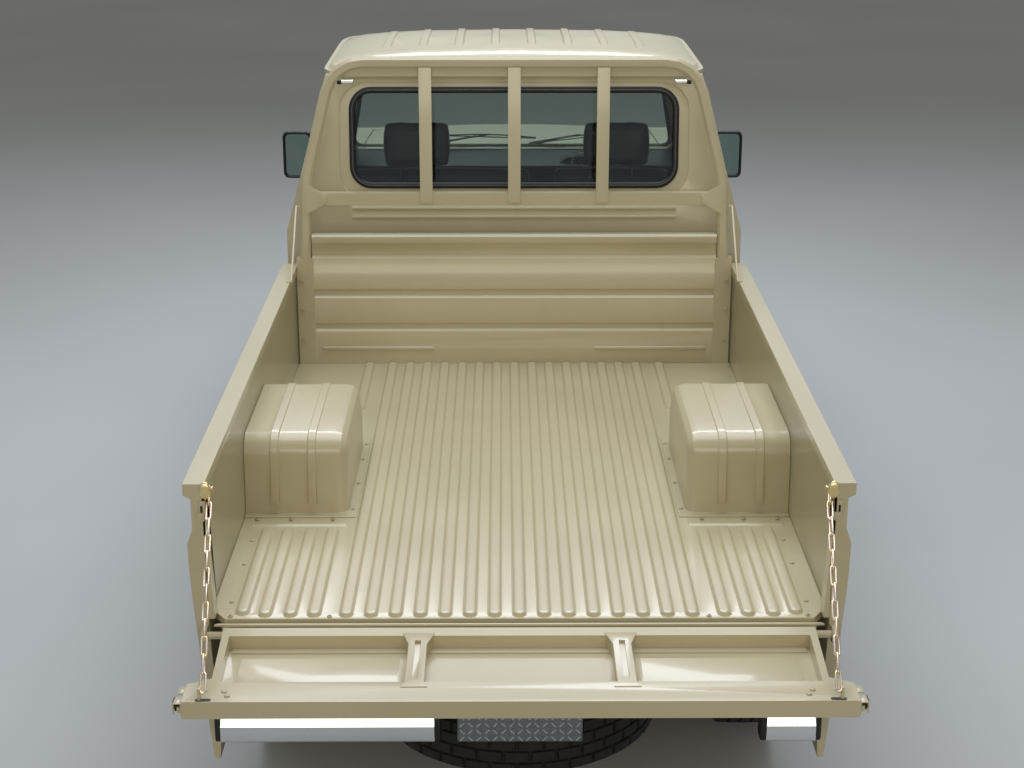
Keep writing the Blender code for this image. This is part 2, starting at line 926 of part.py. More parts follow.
def make_exhaust():
    x = exhaust_x()
    z = axle_height + muffler_rise()
    side_exit = rear_axle_ahead + arch_radius + 0.09
    path = [
        (engine_half + seat_gap, ahead(exhaust_front), engine_low + 0.04),
        (x + 0.02, ahead(exhaust_front), engine_low + 0.04),
        (x + 0.045, ahead(exhaust_front - 0.04), engine_low + 0.03),
        (x + 0.04, ahead(exhaust_front - 0.13), engine_low - 0.02),
        (x + 0.02, ahead(exhaust_front - 0.28), z),
        (x, ahead(exhaust_front - 0.48), z),
        (x, ahead(1.90), z),
        (x + 0.02, ahead(1.80), z),
        (x + 0.10, ahead(side_exit + 0.09), z),
        (x + 0.25, ahead(side_exit + 0.03), z - 0.01),
        (bed_outer_half - 0.09, ahead(side_exit), z - 0.02),
    ]
    pipe = swept("exhaust", path, round_section(exhaust_radius, 8), (0, 0, 1))
    ease = 0.015
    drum = [(0, 0), (muffler_radius - ease, 0), (muffler_radius, ease)]
    drum += [(muffler_radius, muffler_length - ease), (muffler_radius - ease, muffler_length)]
    drum.append((0, muffler_length))
    fuse(pipe, turned("muffler", drum, (x, ahead(muffler_rear), z), (0, 1, 0), muffler_sides))
    return finish(pipe, "iron")


# Load bed


def stadium(x, start, end, half, steps=2):
    """A long outline with half-round ends, in X and Y."""
    points = []
    for i in range(steps + 1):
        angle = math.pi + math.pi * i / steps
        points.append((x + half * math.cos(angle), start + half + half * math.sin(angle)))
    for i in range(steps + 1):
        angle = math.pi * i / steps
        points.append((x + half * math.cos(angle), end - half + half * math.sin(angle)))
    return points


def make_rib(x, start, end):
    """One pressed rib of the floor, narrower at its top and with sloping ends."""
    foot = stadium(x, ahead(start), ahead(end), rib_half_width)
    inset = rib_half_width - rib_top_half
    top = stadium(x, ahead(start) + inset, ahead(end) - inset, rib_top_half)
    low = [(u, v, up(-floor_sheet / 2)) for u, v in foot]
    middle = [(u, v, up(0)) for u, v in foot]
    high = [(u, v, up(rib_height)) for u, v in top]
    return loft("rib", [low, middle, high])


def make_cross_bead(side):
    """The low bead across the floor behind a wheelhouse."""
    middle = ahead(cross_bead_station)
    half = cross_bead_width / 2
    foot = up(-floor_sheet / 2)
    outline = [(middle - half, foot), (middle + half, foot), (middle + half, up(0)),
               (middle + half / 3, up(cross_bead_height)), (middle - half / 3, up(cross_bead_height)),
               (middle - half, up(0))]
    return prism("cross_bead", outline, "X", side * house_inner_half, side * (bed_inner_half - 0.03))


def make_bed_floor():
    """The pressed floor with its ribs, open over the rear wheels, on cross sills and two long sills."""
    half = bed_inner_half - seat_gap
    start, end = ahead(0), ahead(bed_length)
    corner = floor_corner
    outline = [(-half + corner, start), (half - corner, start), (half, start + corner * 1.5), (half, end),
               (-half, end), (-half, start + corner * 1.5)]
    floor = prism("bed_floor", outline, "Z", up(-floor_sheet), up(0))
    middle = (rib_count - 1) / 2
    for i in range(rib_count):
        fuse(floor, make_rib((i - middle) * rib_pitch, rib_start, bed_length - rib_start))
    for side in (LEFT, RIGHT):
        for x in side_rib_x:
            fuse(floor, make_rib(side * x, rib_start, side_rib_end))
        fuse(floor, make_rib(side * front_rib_x, front_rib_start, bed_length - rib_start))
        fuse(floor, make_cross_bead(side))
        hole = block(
            "hole",
            (side * (house_inner_half + house_sheet), ahead(house_rear + house_sheet), up(-0.1)),
            (side * 0.9, ahead(house_front - house_sheet), up(0.1)),
        )
        cut(floor, hole)
        sill_start = (side * (rail_inner + 0.005), ahead(sill_stations[0]), frame_top + seat_gap)
        sill_end = (side * (rail_outer - 0.005), ahead(bed_length - 0.05), up(-floor_sheet + 0.005))
        fuse(floor, block("long_sill", sill_start, sill_end))
    for station in sill_stations:
        sill_half = bed_inner_half - 0.03
        low = (-sill_half, ahead(station - sill_width / 2), up(-floor_sheet - sill_depth))
        high = (sill_half, ahead(station + sill_width / 2), up(-floor_sheet + 0.005))
        fuse(floor, block("sill", low, high))
    return finish(floor, "paint")


def bed_side_outline(side):
    """The section of one side, from the foot of the inner wall up over the top rail and down the skirt."""
    points = [
        (bed_inner_half, -floor_sheet),
        (bed_inner_half, bed_depth - rail_height),
        (rail_inner_half, bed_depth - rail_height),
        (rail_inner_half, bed_depth),
        (rail_outer_half, bed_depth),
        (rail_outer_half, bed_depth - rail_height),
        (bed_outer_half - 0.015, bed_depth - rail_height - 0.01),
        (bed_outer_half - 0.015, 0.25),
        (bed_outer_half, 0.21),
        (bed_outer_half - 0.002, 0.12),
        (bed_outer_half - 0.006, 0.05),
        (bed_outer_half - 0.017, -0.09),
        (bed_outer_half - 0.026, -0.22),
        (bed_outer_half - 0.031, -0.32),
        (bed_outer_half - 0.040, -skirt_depth),
        (bed_outer_half - 0.040 - skirt_sheet / 2, -skirt_depth),
        (bed_outer_half - 0.031 - skirt_sheet, -0.32),
        (bed_outer_half - 0.026 - skirt_sheet, -0.22),
        (bed_outer_half - 0.017 - skirt_sheet, -0.09),
    ]
    return [(side * x, up(z)) for x, z in points]


def hinge_y():
    return ahead(-gate_pin_back)


def hinge_z():
    return up(-gate_pin_drop)


def arch_cutter(y, inner, outer, radius=arch_radius):
    return rod("arch", (inner, y, axle_height), (outer, y, axle_height), radius, 2 * arch_sides)


def arch_lip(y, side, outer, low):
    """The raised edge of a wheel arch, as half a ring that the arch is cut through afterwards."""
    rings = []
    for radius in (arch_radius - 0.01, arch_radius + arch_lip_width):
        start = math.asin((low - axle_height) / radius)
        turns = [start + (math.pi - 2 * start) * i / arch_sides for i in range(arch_sides + 1)]
        rings.append([(y + radius * math.cos(a), axle_height + radius * math.sin(a)) for a in turns])
    root = side * (outer - arch_lip_out - 0.028)
    return prism("arch_lip", rings[0] + rings[1][::-1], "X", root, side * outer)


def make_hinge_ear(side):
    """The plate behind a side's lower rear corner that the tailgate's pin turns in."""
    inner = bed_inner_half + 2 * seat_gap
    root = ear_radius * 0.6
    outline = [(ahead(0.02), hinge_z() - root), (ahead(0.02), hinge_z() + root)]
    steps = 8
    for i in range(steps + 1):
        angle = math.radians(60 + 240 * i / steps)
        outline.append((hinge_y() + ear_radius * math.cos(angle), hinge_z() + ear_radius * math.sin(angle)))
    ear = prism("ear", outline, "X", side * inner, side * (inner + ear_width))
    bore_start = (side * (inner - 0.01), hinge_y(), hinge_z())
    bore_end = (side * (inner + ear_width + 0.01), hinge_y(), hinge_z())
    return cut(ear, rod("bore", bore_start, bore_end, gate_pin_radius + pin_gap, 16))


def make_bed_side(side):
    wall = prism(
        f"bed_side_{SIDE_NAMES[side]}",
        bed_side_outline(side),
        "Y",
        ahead(0),
        ahead(bed_wall_length),
    )
    pillar = block(
        "pillar",
        (side * pillar_inner_half, ahead(0), up(seat_gap)),
        (side * (bed_inner_half + 0.01), ahead(pillar_length), up(bed_depth - rail_height / 2)),
    )
    fuse(wall, pillar)
    fuse(wall, arch_lip(rear_axle_y, side, bed_outer_half + arch_lip_out, up(-skirt_depth) + 0.012))
    cut(wall, arch_cutter(rear_axle_y, side * (bed_outer_half - 0.15), side * (bed_outer_half + 0.1)))
    fuse(wall, make_hinge_ear(side))
    top = chain_top(side)
    pin_start = (side * (chain_top_x - 0.012), top.y, top.z)
    pin_end = (side * (bed_inner_half + 0.01), top.y, top.z)
    fuse(wall, rod("chain_pin", pin_start, pin_end, chain_pin_radius, 8))
    return finish(wall, "paint")


def make_wheelhouse(side):
    """A pressed box over the wheel, open below and towards the outer skin, with its edges well rounded."""
    inner, outer = house_inner_half, bed_inner_half - seat_gap
    low, high = up(seat_gap), up(house_height)

    def shell(name, inset, far, bottom):
        steps = 5
        front, rear = ahead(house_front) - inset, ahead(house_rear) + inset
        top = high - inset
        radius = house_round - inset
        slope = 0.06
        outline = [(front, bottom), (front - slope * 0.3, high - house_round * 1.4)]
        for i in range(steps + 1):
            angle = math.radians(10 + 80 * i / steps)
            x = front - slope - radius + radius * math.cos(angle)
            outline.append((x, top - radius + radius * math.sin(angle)))
        for i in range(steps + 1):
            angle = math.radians(90 + 85 * i / steps)
            x = rear + 0.02 + radius + radius * math.cos(angle)
            outline.append((x, top - radius + radius * math.sin(angle)))
        outline.append((rear, bottom))
        return prism(name, outline, "X", side * (inner + inset), side * far)

    spare = 0.08
    house = shell(f"wheelhouse_{SIDE_NAMES[side]}", 0, outer + spare, low - spare)
    house = rounded(house, house_edge, 3, 50)
    flange = block("flange", (side * (inner - house_flange), ahead(house_rear) - house_flange, low),
                   (side * (outer + spare), ahead(house_front) + house_flange, low + house_flange_sheet))
    fuse(house, flange)
    for x in house_bead_x:
        bead = shell("bead", -house_bead_rise, x + house_bead_width / 2, low + house_bead_end)
        trim = block("trim", (side * (inner - 0.1), ahead(house_rear) - 0.1, low - spare),
                     (side * (x - house_bead_width / 2), ahead(house_front) + 0.1, high + 0.1))
        fuse(house, cut(bead, trim))
    keep_inside(house, block("bounds", (side * (inner - 0.1), ahead(house_rear) - 0.1, low),
                             (side * outer, ahead(house_front) + 0.1, high + 0.1)))
    hollow = shell("hollow", house_sheet, outer + spare, low - spare)
    cut(house, rounded(hollow, house_edge - house_sheet, 2, 50))
    return finish(house, "paint")


def guard_leg_x(rise):
    """How far out the middle of a guard leg stands at a height over the bed floor."""
    share = (rise - headboard_post_height) / (guard_knee - headboard_post_height)
    return guard_foot_half + (guard_knee_half - guard_foot_half) * share


def make_headboard():
    """The front wall of the bed, pressed with grooves and a recess under its top rail, between two posts."""
    face, end = ahead(bed_length) + 2 * seat_gap, ahead(bed_wall_length)
    slope = headboard_slope
    rear = [(face, -floor_sheet)]
    for low, high in headboard_grooves:
        depth = face + headboard_groove
        rear += [(face, low), (depth, low + slope), (depth, high - slope), (face, high)]
    band = face + headboard_crease_depth
    pocket = face + headboard_recess
    rear += [(face, headboard_crease - slope), (band, headboard_crease), (band, headboard_post_height),
             (pocket, headboard_post_height + slope), (pocket, headboard_recess_top - slope / 2),
             (face, headboard_recess_top), (face, headboard_height - slope),
             (face + slope, headboard_height)]
    inside = face + headboard_sheet
    shelf = headboard_post_height - slope
    front = [(end - slope / 2, headboard_height), (end, headboard_height - slope / 2),
             (end, headboard_recess_top), (pocket + headboard_sheet, headboard_recess_top - slope),
             (pocket + headboard_sheet, shelf), (inside, shelf - slope), (inside, 2 * slope), (end, slope),
             (end, -floor_sheet)]
    half = guard_leg_x(headboard_height) - guard_tube / 2 - 0.002
    board = prism("headboard", [(y, up(z)) for y, z in rear + front], "X", -half, half)
    for side in (LEFT, RIGHT):
        post = block("post", (side * (half - 0.004), ahead(bed_length) + seat_gap, up(-floor_sheet)),
                     (side * (rail_inner_half - seat_gap), end, up(headboard_post_height)))
        rise = headboard_bead_rise
        bead = [(face + rise, up(headboard_bead_z - 3 * rise)), (face - rise, up(headboard_bead_z - rise)),
                (face - rise, up(headboard_bead_z + rise)), (face + rise, up(headboard_bead_z + 3 * rise))]
        fuse(board, post, prism("bead", bead, "X", side * headboard_bead_start, side * (half - 0.03)))
    return finish(board, "paint")


def make_guard_frame():
    """The bent hoop that protects the rear window, with a web, a cross bar, gussets, bars and two braces."""
    y = ahead(bed_length + headboard_depth / 2)
    foot = headboard_post_height + seat_gap
    crown = up(guard_top - guard_tube / 2)
    corners = [(guard_foot_half, y, up(foot)), (guard_knee_half, y, up(guard_knee)),
               (guard_shoulder_half, y, crown), (0, y, crown)]
    right = filleted(corners, (guard_knee_round, guard_shoulder_round))[:-1]
    right[0] = right[0] - Vector((0, 0, guard_tube / 4))
    left = [Vector((-x, py, z)) for x, py, z in reversed(right)]
    section = chamfered_section(guard_tube, guard_tube, guard_chamfer)
    hoop = swept("guard_frame", right + left, section, (0, 1, 0))
    cut(hoop, block("foot_plane", (-bed_inner_half, y - guard_tube, up(foot - guard_tube)),
                    (bed_inner_half, y + guard_tube, up(foot))))
    web_half = guard_shoulder_half - guard_tube
    web = block("web", (-web_half, y - guard_web_depth / 2, up(guard_web_low)),
                (web_half, y + guard_web_depth / 2, up(guard_top - guard_tube / 2)))
    reach = guard_leg_x(guard_cross_low)
    cross = block("cross", (-reach, y - guard_cross_depth / 2, up(guard_cross_low)),
                  (reach, y + guard_cross_depth / 2, up(guard_cross_high)))
    fuse(hoop, web, cross)
    for side in (LEFT, RIGHT):
        root, tip = side * reach, side * (reach - guard_tube / 2 - guard_gusset_reach)
        rise = guard_gusset_rise
        gusset = [(root, up(guard_cross_low - rise)), (tip, up(guard_cross_low + rise / 4)),
                  (tip, up(guard_cross_high - rise / 4)), (root, up(guard_cross_high + rise))]
        rear_face = y - guard_cross_depth / 2 - guard_gusset_sheet / 2
        fuse(hoop, prism("gusset", gusset, "Y", rear_face, rear_face + guard_gusset_sheet))
        fuse(hoop, make_brace(side, y))
    for x in (-guard_bar_x, 0, guard_bar_x):
        bar_face = y - guard_cross_depth / 2 - guard_bar_depth / 2
        bar = block(
            "bar",
            (x - guard_bar_width / 2, bar_face, up(guard_cross_low + 0.01)),
            (x + guard_bar_width / 2, bar_face + guard_bar_depth, up(guard_top - guard_tube + 0.004)),
        )
        low = (x - guard_bar_width / 4, bar_face + guard_bar_depth / 2, up(guard_web_low + 0.006))
        tie = block("tie", low, (x + guard_bar_width / 4, y, up(guard_top - guard_tube)))
        fuse(hoop, bar, tie)
    return finish(hoop, "paint")


def make_brace(side, guard_y):
    """A flat bar from a guard leg down and back to the edge of the bed's top rail, with a bolted foot."""
    top = (guard_y, up(brace_high))
    foot_z = up(bed_depth) + seat_gap
    foot = (guard_y - brace_back, foot_z)
    half = brace_width / 2
    outer = side * (rail_inner_half - 0.002)
    inner = outer - side * brace_sheet
    outline = [(top[0] + half, top[1] - half), (top[0] - half, top[1] + half),
               (foot[0] - half, foot_z + half), (foot[0] - half, foot_z), (foot[0] + 2 * half, foot_z)]
    bar = prism("brace", outline, "X", inner, outer)
    plate_outer = side * (rail_inner_half + brace_foot_out)
    bolt_plate = block("foot", (inner, foot[0] - 2 * half, foot_z),
                       (plate_outer, foot[0] + 3 * half, foot_z + brace_sheet * 0.7))
    link = block("link", (side * guard_leg_x(brace_high), guard_y - half, top[1] - 2 * half),
                 (outer, guard_y + half, top[1] + half))
    return fuse(bar, bolt_plate, link)


# Tailgate and chains


def make_gate_stay(x, near, shoulder, floor_z, face):
    """A flat stay over the tray, winged where it meets the hinge beam and flared at its foot on the rail."""
    half = gate_stay_width / 2
    wing, foot = half + gate_stay_wing, half + gate_stay_foot
    beam = near - gate_beam
    rows = ((wing, beam + 0.012), (half, beam - 0.05), (half, shoulder - 0.008), (foot, shoulder - 0.028))
    outline = [(x + u, v) for u, v in rows] + [(x - u, v) for u, v in reversed(rows)]
    stay = prism("stay", outline, "Z", floor_z - 0.003, face + gate_stay_rise)
    slot_half = half / 3
    low, high = (x - slot_half, beam - 0.03, face - 0.006), (x + slot_half, shoulder + 0.02, face + 0.02)
    return cut(stay, block("slot", low, high))


def add_gate_dent(gate, near, far, under):
    """The shallow pressed field in the tailgate's outer skin, with sloping edges."""
    border = gate_dent_border
    sections = []
    for inset, z in ((0, under - gate_dent), (0, under), (gate_dent, under + gate_dent)):
        half = gate_waist_half - border - inset
        front, rear = near - border - inset, far + border + inset
        sections.append([(-half, front, z), (half, front, z), (half, rear, z), (-half, rear, z)])
    cut(gate, loft("dent", sections))


def make_tailgate():
    """Open, it lies level: a tray between a top rail, end flanges, a hinge beam and two stays."""
    near = hinge_y() + gate_heel
    far = hinge_y() - gate_reach
    face = hinge_z() + gate_face_up
    under = face - gate_thickness
    shoulder = far + gate_rail_width
    outline = [(gate_foot_half, near), (gate_waist_half, shoulder + 0.02), (gate_rail_half, shoulder - 0.01),
               (gate_rail_half, far)]
    outline += [(-x, y) for x, y in reversed(outline)]
    gate = prism("tailgate", outline, "Z", under, face)
    spare = 0.01
    run = gate_beam_ease + spare
    ease = [(near + spare, face + spare), (near - run, face + spare), (near + spare, face - run)]
    cut(gate, prism("ease", ease, "X", -gate_rail_half, gate_rail_half))
    floor_z = under + gate_skin
    beam = near - gate_beam
    tray = [(gate_foot_half - gate_flange - 0.004, beam), (gate_waist_half - gate_flange, shoulder)]
    tray += [(-x, y) for x, y in reversed(tray)]
    cut(gate, prism("tray", tray, "Z", floor_z, face + 0.05))
    ledge_half = gate_waist_half - gate_flange
    ledge = block("ledge", (-ledge_half, beam + 0.005, floor_z - 0.003),
                  (ledge_half, beam - gate_ledge, floor_z + gate_ledge_rise))
    fuse(gate, ledge)
    add_gate_dent(gate, near, far, under)
    pad_rear, pad_front = shoulder + 0.03, beam - gate_ledge - 0.03
    stay_clear = gate_stay_x + gate_stay_width
    inner_half = gate_stay_x - gate_stay_width
    end = ledge_half - 0.03
    for low, high in ((-end, -stay_clear), (-inner_half, inner_half), (stay_clear, end)):
        top = floor_z + gate_pad_rise
        fuse(gate, block("pad", (low, pad_rear, floor_z - 0.003), (high, pad_front, top)))
    for side in (LEFT, RIGHT):
        fuse(gate, make_gate_stay(side * gate_stay_x, near, shoulder, floor_z, face))
        tip_low = (side * (gate_rail_half - 0.004), far + 0.008, under + 0.012)
        tip_high = (side * (gate_rail_half + gate_tip_reach), far + gate_tip_length, under + 0.026)
        fuse(gate, block("latch_tip", tip_low, tip_high))
        pin_start = (side * (gate_foot_half - 0.02), hinge_y(), hinge_z())
        pin_end = (side * (bed_inner_half + ear_width + 0.004), hinge_y(), hinge_z())
        fuse(gate, rod("pin", pin_start, pin_end, gate_pin_radius, 16))
        foot = chain_foot(side)
        lug = block("lug", (side * (chain_foot_x + 0.006), foot.y - 0.008, face - 0.01),
                    (side * (chain_foot_x + 0.012), foot.y + 0.008, foot.z + 0.008))
        fuse(gate, lug)
        chain_start = (side * (chain_foot_x - 0.012), foot.y, foot.z)
        chain_end = (side * (chain_foot_x + 0.010), foot.y, foot.z)
        fuse(gate, rod("chain_pin", chain_start, chain_end, chain_pin_radius, 8))
    return finish(gate, "paint")


def chain_top(side):
    return Vector((side * chain_top_x, ahead(chain_top_ahead), up(bed_depth - chain_top_drop)))


def chain_foot(side):
    face = hinge_z() + gate_face_up
    return Vector((side * chain_foot_x, hinge_y() - chain_foot_along, face + chain_foot_up))


def make_link(centre, along, normal, length):
    """An oval link: a bent wire whose ends are half circles."""
    wire = chain_wire_radius
    radius = chain_link_width / 2 - wire
    straight = length / 2 - wire - radius
    across = along.cross(normal)
    path = []
    for end in (1, -1):
        for i in range(4):
            angle = math.pi * (i / 3 - 0.5)
            reach = end * (straight + radius * math.cos(angle))
            path.append(centre + along * reach + across * (end * radius * math.sin(angle)))
    return swept("link", path, round_section(wire, 4), normal, closed=True)


def make_chain_half(name, start, end):
    """Half of a chain: links that hang in one another from a pin towards the middle of the chain."""
    span = end - start
    along = span.normalized()
    half = span.length / 2 - chain_meeting_gap
    hook = chain_link_width / 2
    hold = 4 * chain_wire_radius - chain_bite
    pitch = (half + hook - hold) / chain_links_each
    length = pitch + hold
    first_normal = (Vector((1, 0, 0)) - along * along.x).normalized()
    second_normal = along.cross(first_normal)
    chain = None
    for i in range(chain_links_each):
        centre = start + along * (length / 2 - hook + i * pitch)
        link = make_link(centre, along, (first_normal, second_normal)[i % 2], length)
        if chain is None:
            chain = link
            chain.name = name
        else:
            fuse(chain, link)
    return finish(chain, "zinc")


# Hinges with a barrel in view


def hinge_barrel(centre, axis, start, end):
    centre, axis = Vector(centre), Vector(axis)
    return rod("barrel", centre + axis * start, centre + axis * end, hinge_barrel_radius, hinge_sides)


def moving_hinge(centre, axis, leaf_low, leaf_high):
    """The middle barrel with its leaf, bored for the pin."""
    half = hinge_barrel_length / 2
    centre, axis = Vector(centre), Vector(axis)
    hinge = fuse(block("leaf", leaf_low, leaf_high), hinge_barrel(centre, axis, -half, half))
    radius = (hinge_pin_radius + pin_gap) / math.cos(math.pi / hinge_sides)
    return cut(hinge, rod("bore", centre - axis * 2 * half, centre + axis * 2 * half, radius, hinge_sides))


def add_fixed_hinge(panel, centre, axis, leaf_low, leaf_high, keep_clear):
    """Gives a panel the two outer barrels, leaf and pin; the middle barrel swings in keep_clear."""
    half = hinge_barrel_length / 2
    centre, axis = Vector(centre), Vector(axis)
    leaf = cut(block("leaf", leaf_low, leaf_high), block("clear", *keep_clear))
    near, far = half + 2 * pin_gap, half * 2 - 2 * pin_gap
    bite = axis * (near + hinge_pin_bite)
    pin = rod("pin", centre - bite, centre + bite, hinge_pin_radius, hinge_sides)
    fuse(panel, leaf, hinge_barrel(centre, axis, near, far), hinge_barrel(centre, axis, -far, -near), pin)


def door_hinge_centre(side, z):
    return Vector((side * (cab_half + door_pin_out), ahead(door_front), z))


def door_leaf(side, reach, half_height):
    """The two corners of a leaf on the skin that runs back, or forward, from the door's pins."""
    y = ahead(door_front)
    return (side * (cab_half - 0.004), y, -half_height), (side * (cab_half + 0.007), y + reach, half_height)


def raised(corners, z):
    return [Vector(corner) + Vector((0, 0, z)) for corner in corners]


def moving_door_hinge(side, z):
    low, high = raised(door_leaf(side, -hinge_leaf, hinge_barrel_length / 2), z)
    return moving_hinge(door_hinge_centre(side, z), (0, 0, 1), low, high)


def add_fixed_door_hinge(fender, side, z):
    low, high = raised(door_leaf(side, hinge_leaf, hinge_barrel_length), z)
    y = ahead(door_front)
    swing = hinge_barrel_length / 2 + pin_gap
    clear = ((side * (cab_half - 0.02), y - 0.02, z - swing),
             (side * (cab_half + 0.05), y + 0.016, z + swing))
    add_fixed_hinge(fender, door_hinge_centre(side, z), (0, 0, 1), low, high, clear)


def hood_hinge_centre(side):
    y = ahead(cab_front_ahead) + screen_overhang + shut_gap
    t = hood_hinge_x / (hood_half - shut_gap)
    return Vector((side * hood_hinge_x, y, nose_height(y) + hood_crown * (1 - t * t) + 0.006))


def moving_hood_hinge(side):
    centre = hood_hinge_centre(side)
    half = hinge_barrel_length / 2
    low = centre + Vector((-half, 0, -0.016))
    high = centre + Vector((half, hinge_leaf, -0.003))
    return moving_hinge(centre, (1, 0, 0), low, high)


def add_fixed_hood_hinge(shell, side):
    centre = hood_hinge_centre(side)
    half = hinge_barrel_length
    low = centre + Vector((-half, -hinge_leaf, -0.03))
    high = centre + Vector((half, 0, -0.003))
    swing = hinge_barrel_length / 2 + pin_gap
    clear = (centre + Vector((-swing, -0.012, -0.05)), centre + Vector((swing, 0.02, 0.05)))
    add_fixed_hinge(shell, centre, (1, 0, 0), low, high, clear)


# Cab


def cab_form(name, inset, low, high=drip_height):
    """The cab's outer form, or one parallel to it inside: a straight lower body and a tapering upper one."""
    half = cab_half - inset
    back, front = ahead(cab_back_ahead) + inset, ahead(cab_front_ahead) - inset
    body = block(name, (-half, back, low), (half, front, waist_height))
    climb = high - waist_height
    screen_low = ahead(cab_front_ahead) + screen_overhang - inset * 1.2
    screen_high = screen_low - screen_rake * climb
    back_high = back + back_lean * climb / (drip_height - waist_height)
    top_half = half - (cab_half - drip_half) * climb / (drip_height - waist_height)
    sections = [
        [(-half, back, waist_height), (half, back, waist_height),
         (half, screen_low, waist_height), (-half, screen_low, waist_height)],
        [(-top_half, back_high, high), (top_half, back_high, high),
         (top_half, screen_high, high), (-top_half, screen_high, high)],
    ]
    cowl_low = waist_height - cowl_depth + inset
    cowl = block("cowl", (-half, front - 0.05, cowl_low), (half, screen_low, waist_height))
    return fuse(body, cowl, loft("upper", sections))


def cab_hollow(inset, low):
    return cab_form("hollow", inset, low, drip_height + 0.05)


def door_outline(inset, low, ease=0.0):
    """The door's outline in Y and Z; its front edge turns back along the windscreen pillar."""
    rear = ahead(door_rear) + inset
    front = ahead(door_front) - inset
    high = door_high - inset
    pillar_foot = ahead(cab_front_ahead) + screen_overhang - door_pillar - inset * 1.2
    turn_z = waist_height + (pillar_foot - front) / screen_rake
    top_front = pillar_foot - screen_rake * (high - waist_height)
    return [(rear, low), (front, low), (front, turn_z), (top_front, high), (rear + ease, high),
            (rear, waist_height)]


def window_outline(inset):
    rear = ahead(door_rear) + shut_gap + door_frame + inset
    front = ahead(door_front) - shut_gap - door_frame - inset
    high = door_high - shut_gap - door_frame + 0.01 - inset
    low = door_glass_low + inset
    pillar_foot = ahead(cab_front_ahead) + screen_overhang - door_pillar - (door_frame + inset) * 1.2 - 0.01
    turn_z = waist_height + (pillar_foot - front) / screen_rake
    top_front = pillar_foot - screen_rake * (high - waist_height)
    return [(rear, low), (front, low), (front, turn_z), (top_front, high), (rear + door_top_ease, high)]


def screen_outline(inset):
    half_low, half_high = cab_half - screen_side - inset, drip_half - screen_top_side - inset
    low, high = waist_height + 0.05 + inset, drip_height - 0.045 - inset
    corner = 0.03
    return [(-half_low + corner, low), (half_low - corner, low), (half_low, low + corner),
            (half_high, high - corner), (half_high - corner, high), (-half_high + corner, high),
            (-half_high, high - corner), (-half_low, low + corner)]


def add_back_panel(shell):
    """The shallow recess round the rear window, and the beads across the wall below it."""
    slope = back_lean / (drip_height - waist_height)
    back = ahead(cab_back_ahead)
    grown = window_panel
    low = (-window_half - grown, window_low - grown)
    high = (window_half + grown, window_high + grown * 0.6)
    outline = round_corner_rect(low, high, window_corner + grown * 0.6, 4)
    recess = prism("recess", outline, "Y", back - 0.05, back + window_panel_depth)
    cut(shell, leaned(recess, slope, waist_height))
    half, rise = back_bead_width / 2, back_bead_rise
    for z in back_bead_heights:
        bead = [(back + rise, z - half), (back - rise, z - half / 2), (back - rise, z + half / 2),
                (back + rise, z + half)]
        fuse(shell, leaned(prism("bead", bead, "X", -back_bead_half, back_bead_half), slope, waist_height))


def side_bead(name, side, start, end):
    """The pressed line that runs along the body side."""
    skin, half = cab_half - side_bead_rise, side_bead_width / 2
    out = cab_half + side_bead_rise
    z = side_bead_height
    outline = [(skin, z - half), (out, z - half / 2), (out, z + half / 2), (skin, z + half)]
    return prism(name, [(side * x, rise) for x, rise in outline], "Y", start, end)


def make_cab_shell():
    """Floor, back wall, pillars, rockers and cowl, hollow, with the doors and windows cut out."""
    shell = cab_form("cab_shell", 0, rocker_low)
    cut(shell, cab_hollow(cab_wall, cab_floor_top))
    under_half = cab_half - 0.11
    cut(shell, block("underside", (-under_half, ahead(cab_back_ahead) - 0.1, rocker_low - 0.1),
                     (under_half, ahead(cab_front_ahead) + 0.1, cab_floor_top - cab_floor_sheet)))
    seat = cab_half - cab_wall - shut_gap
    for side in (LEFT, RIGHT):
        cut(shell, prism("door_hole", door_outline(0, door_low), "X", side * seat, side * 1.0))
        cut(shell, prism("door_mouth", door_outline(0, cab_floor_top + 0.02), "X", side * 0.5, side * 1.0))
        fender_seat = cab_half - fender_sheet - seat_gap
        cut(shell, block("fender_seat", (side * fender_seat, ahead(door_front), rocker_low - 0.1),
                         (side * 1.0, ahead(cab_front_ahead) + 0.2, waist_height)))
    low, high = (-window_half, window_low), (window_half, window_high)
    rear_hole = prism("rear_hole", round_corner_rect(low, high, window_corner, 5), "Y",
                      ahead(cab_back_ahead) - 0.1, ahead(cab_back_ahead) + 0.25)
    cut(shell, rear_hole)
    add_back_panel(shell)
    for side in (LEFT, RIGHT):
        fuse(shell, side_bead("side_bead", side, ahead(cab_back_ahead), ahead(door_rear)))
    screen_y = ahead(cab_front_ahead)
    cut(shell, prism("screen_hole", screen_outline(0), "Y", screen_y - 0.55, screen_y + 0.3))
    for side in (LEFT, RIGHT):
        add_fixed_hood_hinge(shell, side)
    return finish(shell, "paint")


def roof_stations():
    """Places along the roof as (Y, share of the full height, pull-in of the sides)."""
    back = ahead(cab_back_ahead) + back_lean - roof_overhang
    front = ahead(cab_front_ahead) + screen_overhang - screen_rake * upper_rise + roof_overhang
    rows = [(back + run, share, pull) for run, share, pull in roof_rear_curve]
    crown_end = (back + front) / 2 - 0.05
    rows.append((crown_end, 1.0, 0.0))
    for run, pull in roof_front_curve:
        rows.append((crown_end + (front - crown_end) * run, 1 - roof_fall / roof_rise * run * run, pull))
    rows.append((front - roof_front_roll, 0.30, 0.045))
    rows.append((front, 0.14, 0.075))
    return rows


def roof_rise_at(x, half, height):
    """The height of the crowned roof over the drip line at a distance from the middle."""
    return height * max(0.0, 1 - abs(x / half) ** roof_fullness) ** (1 / roof_fullness)


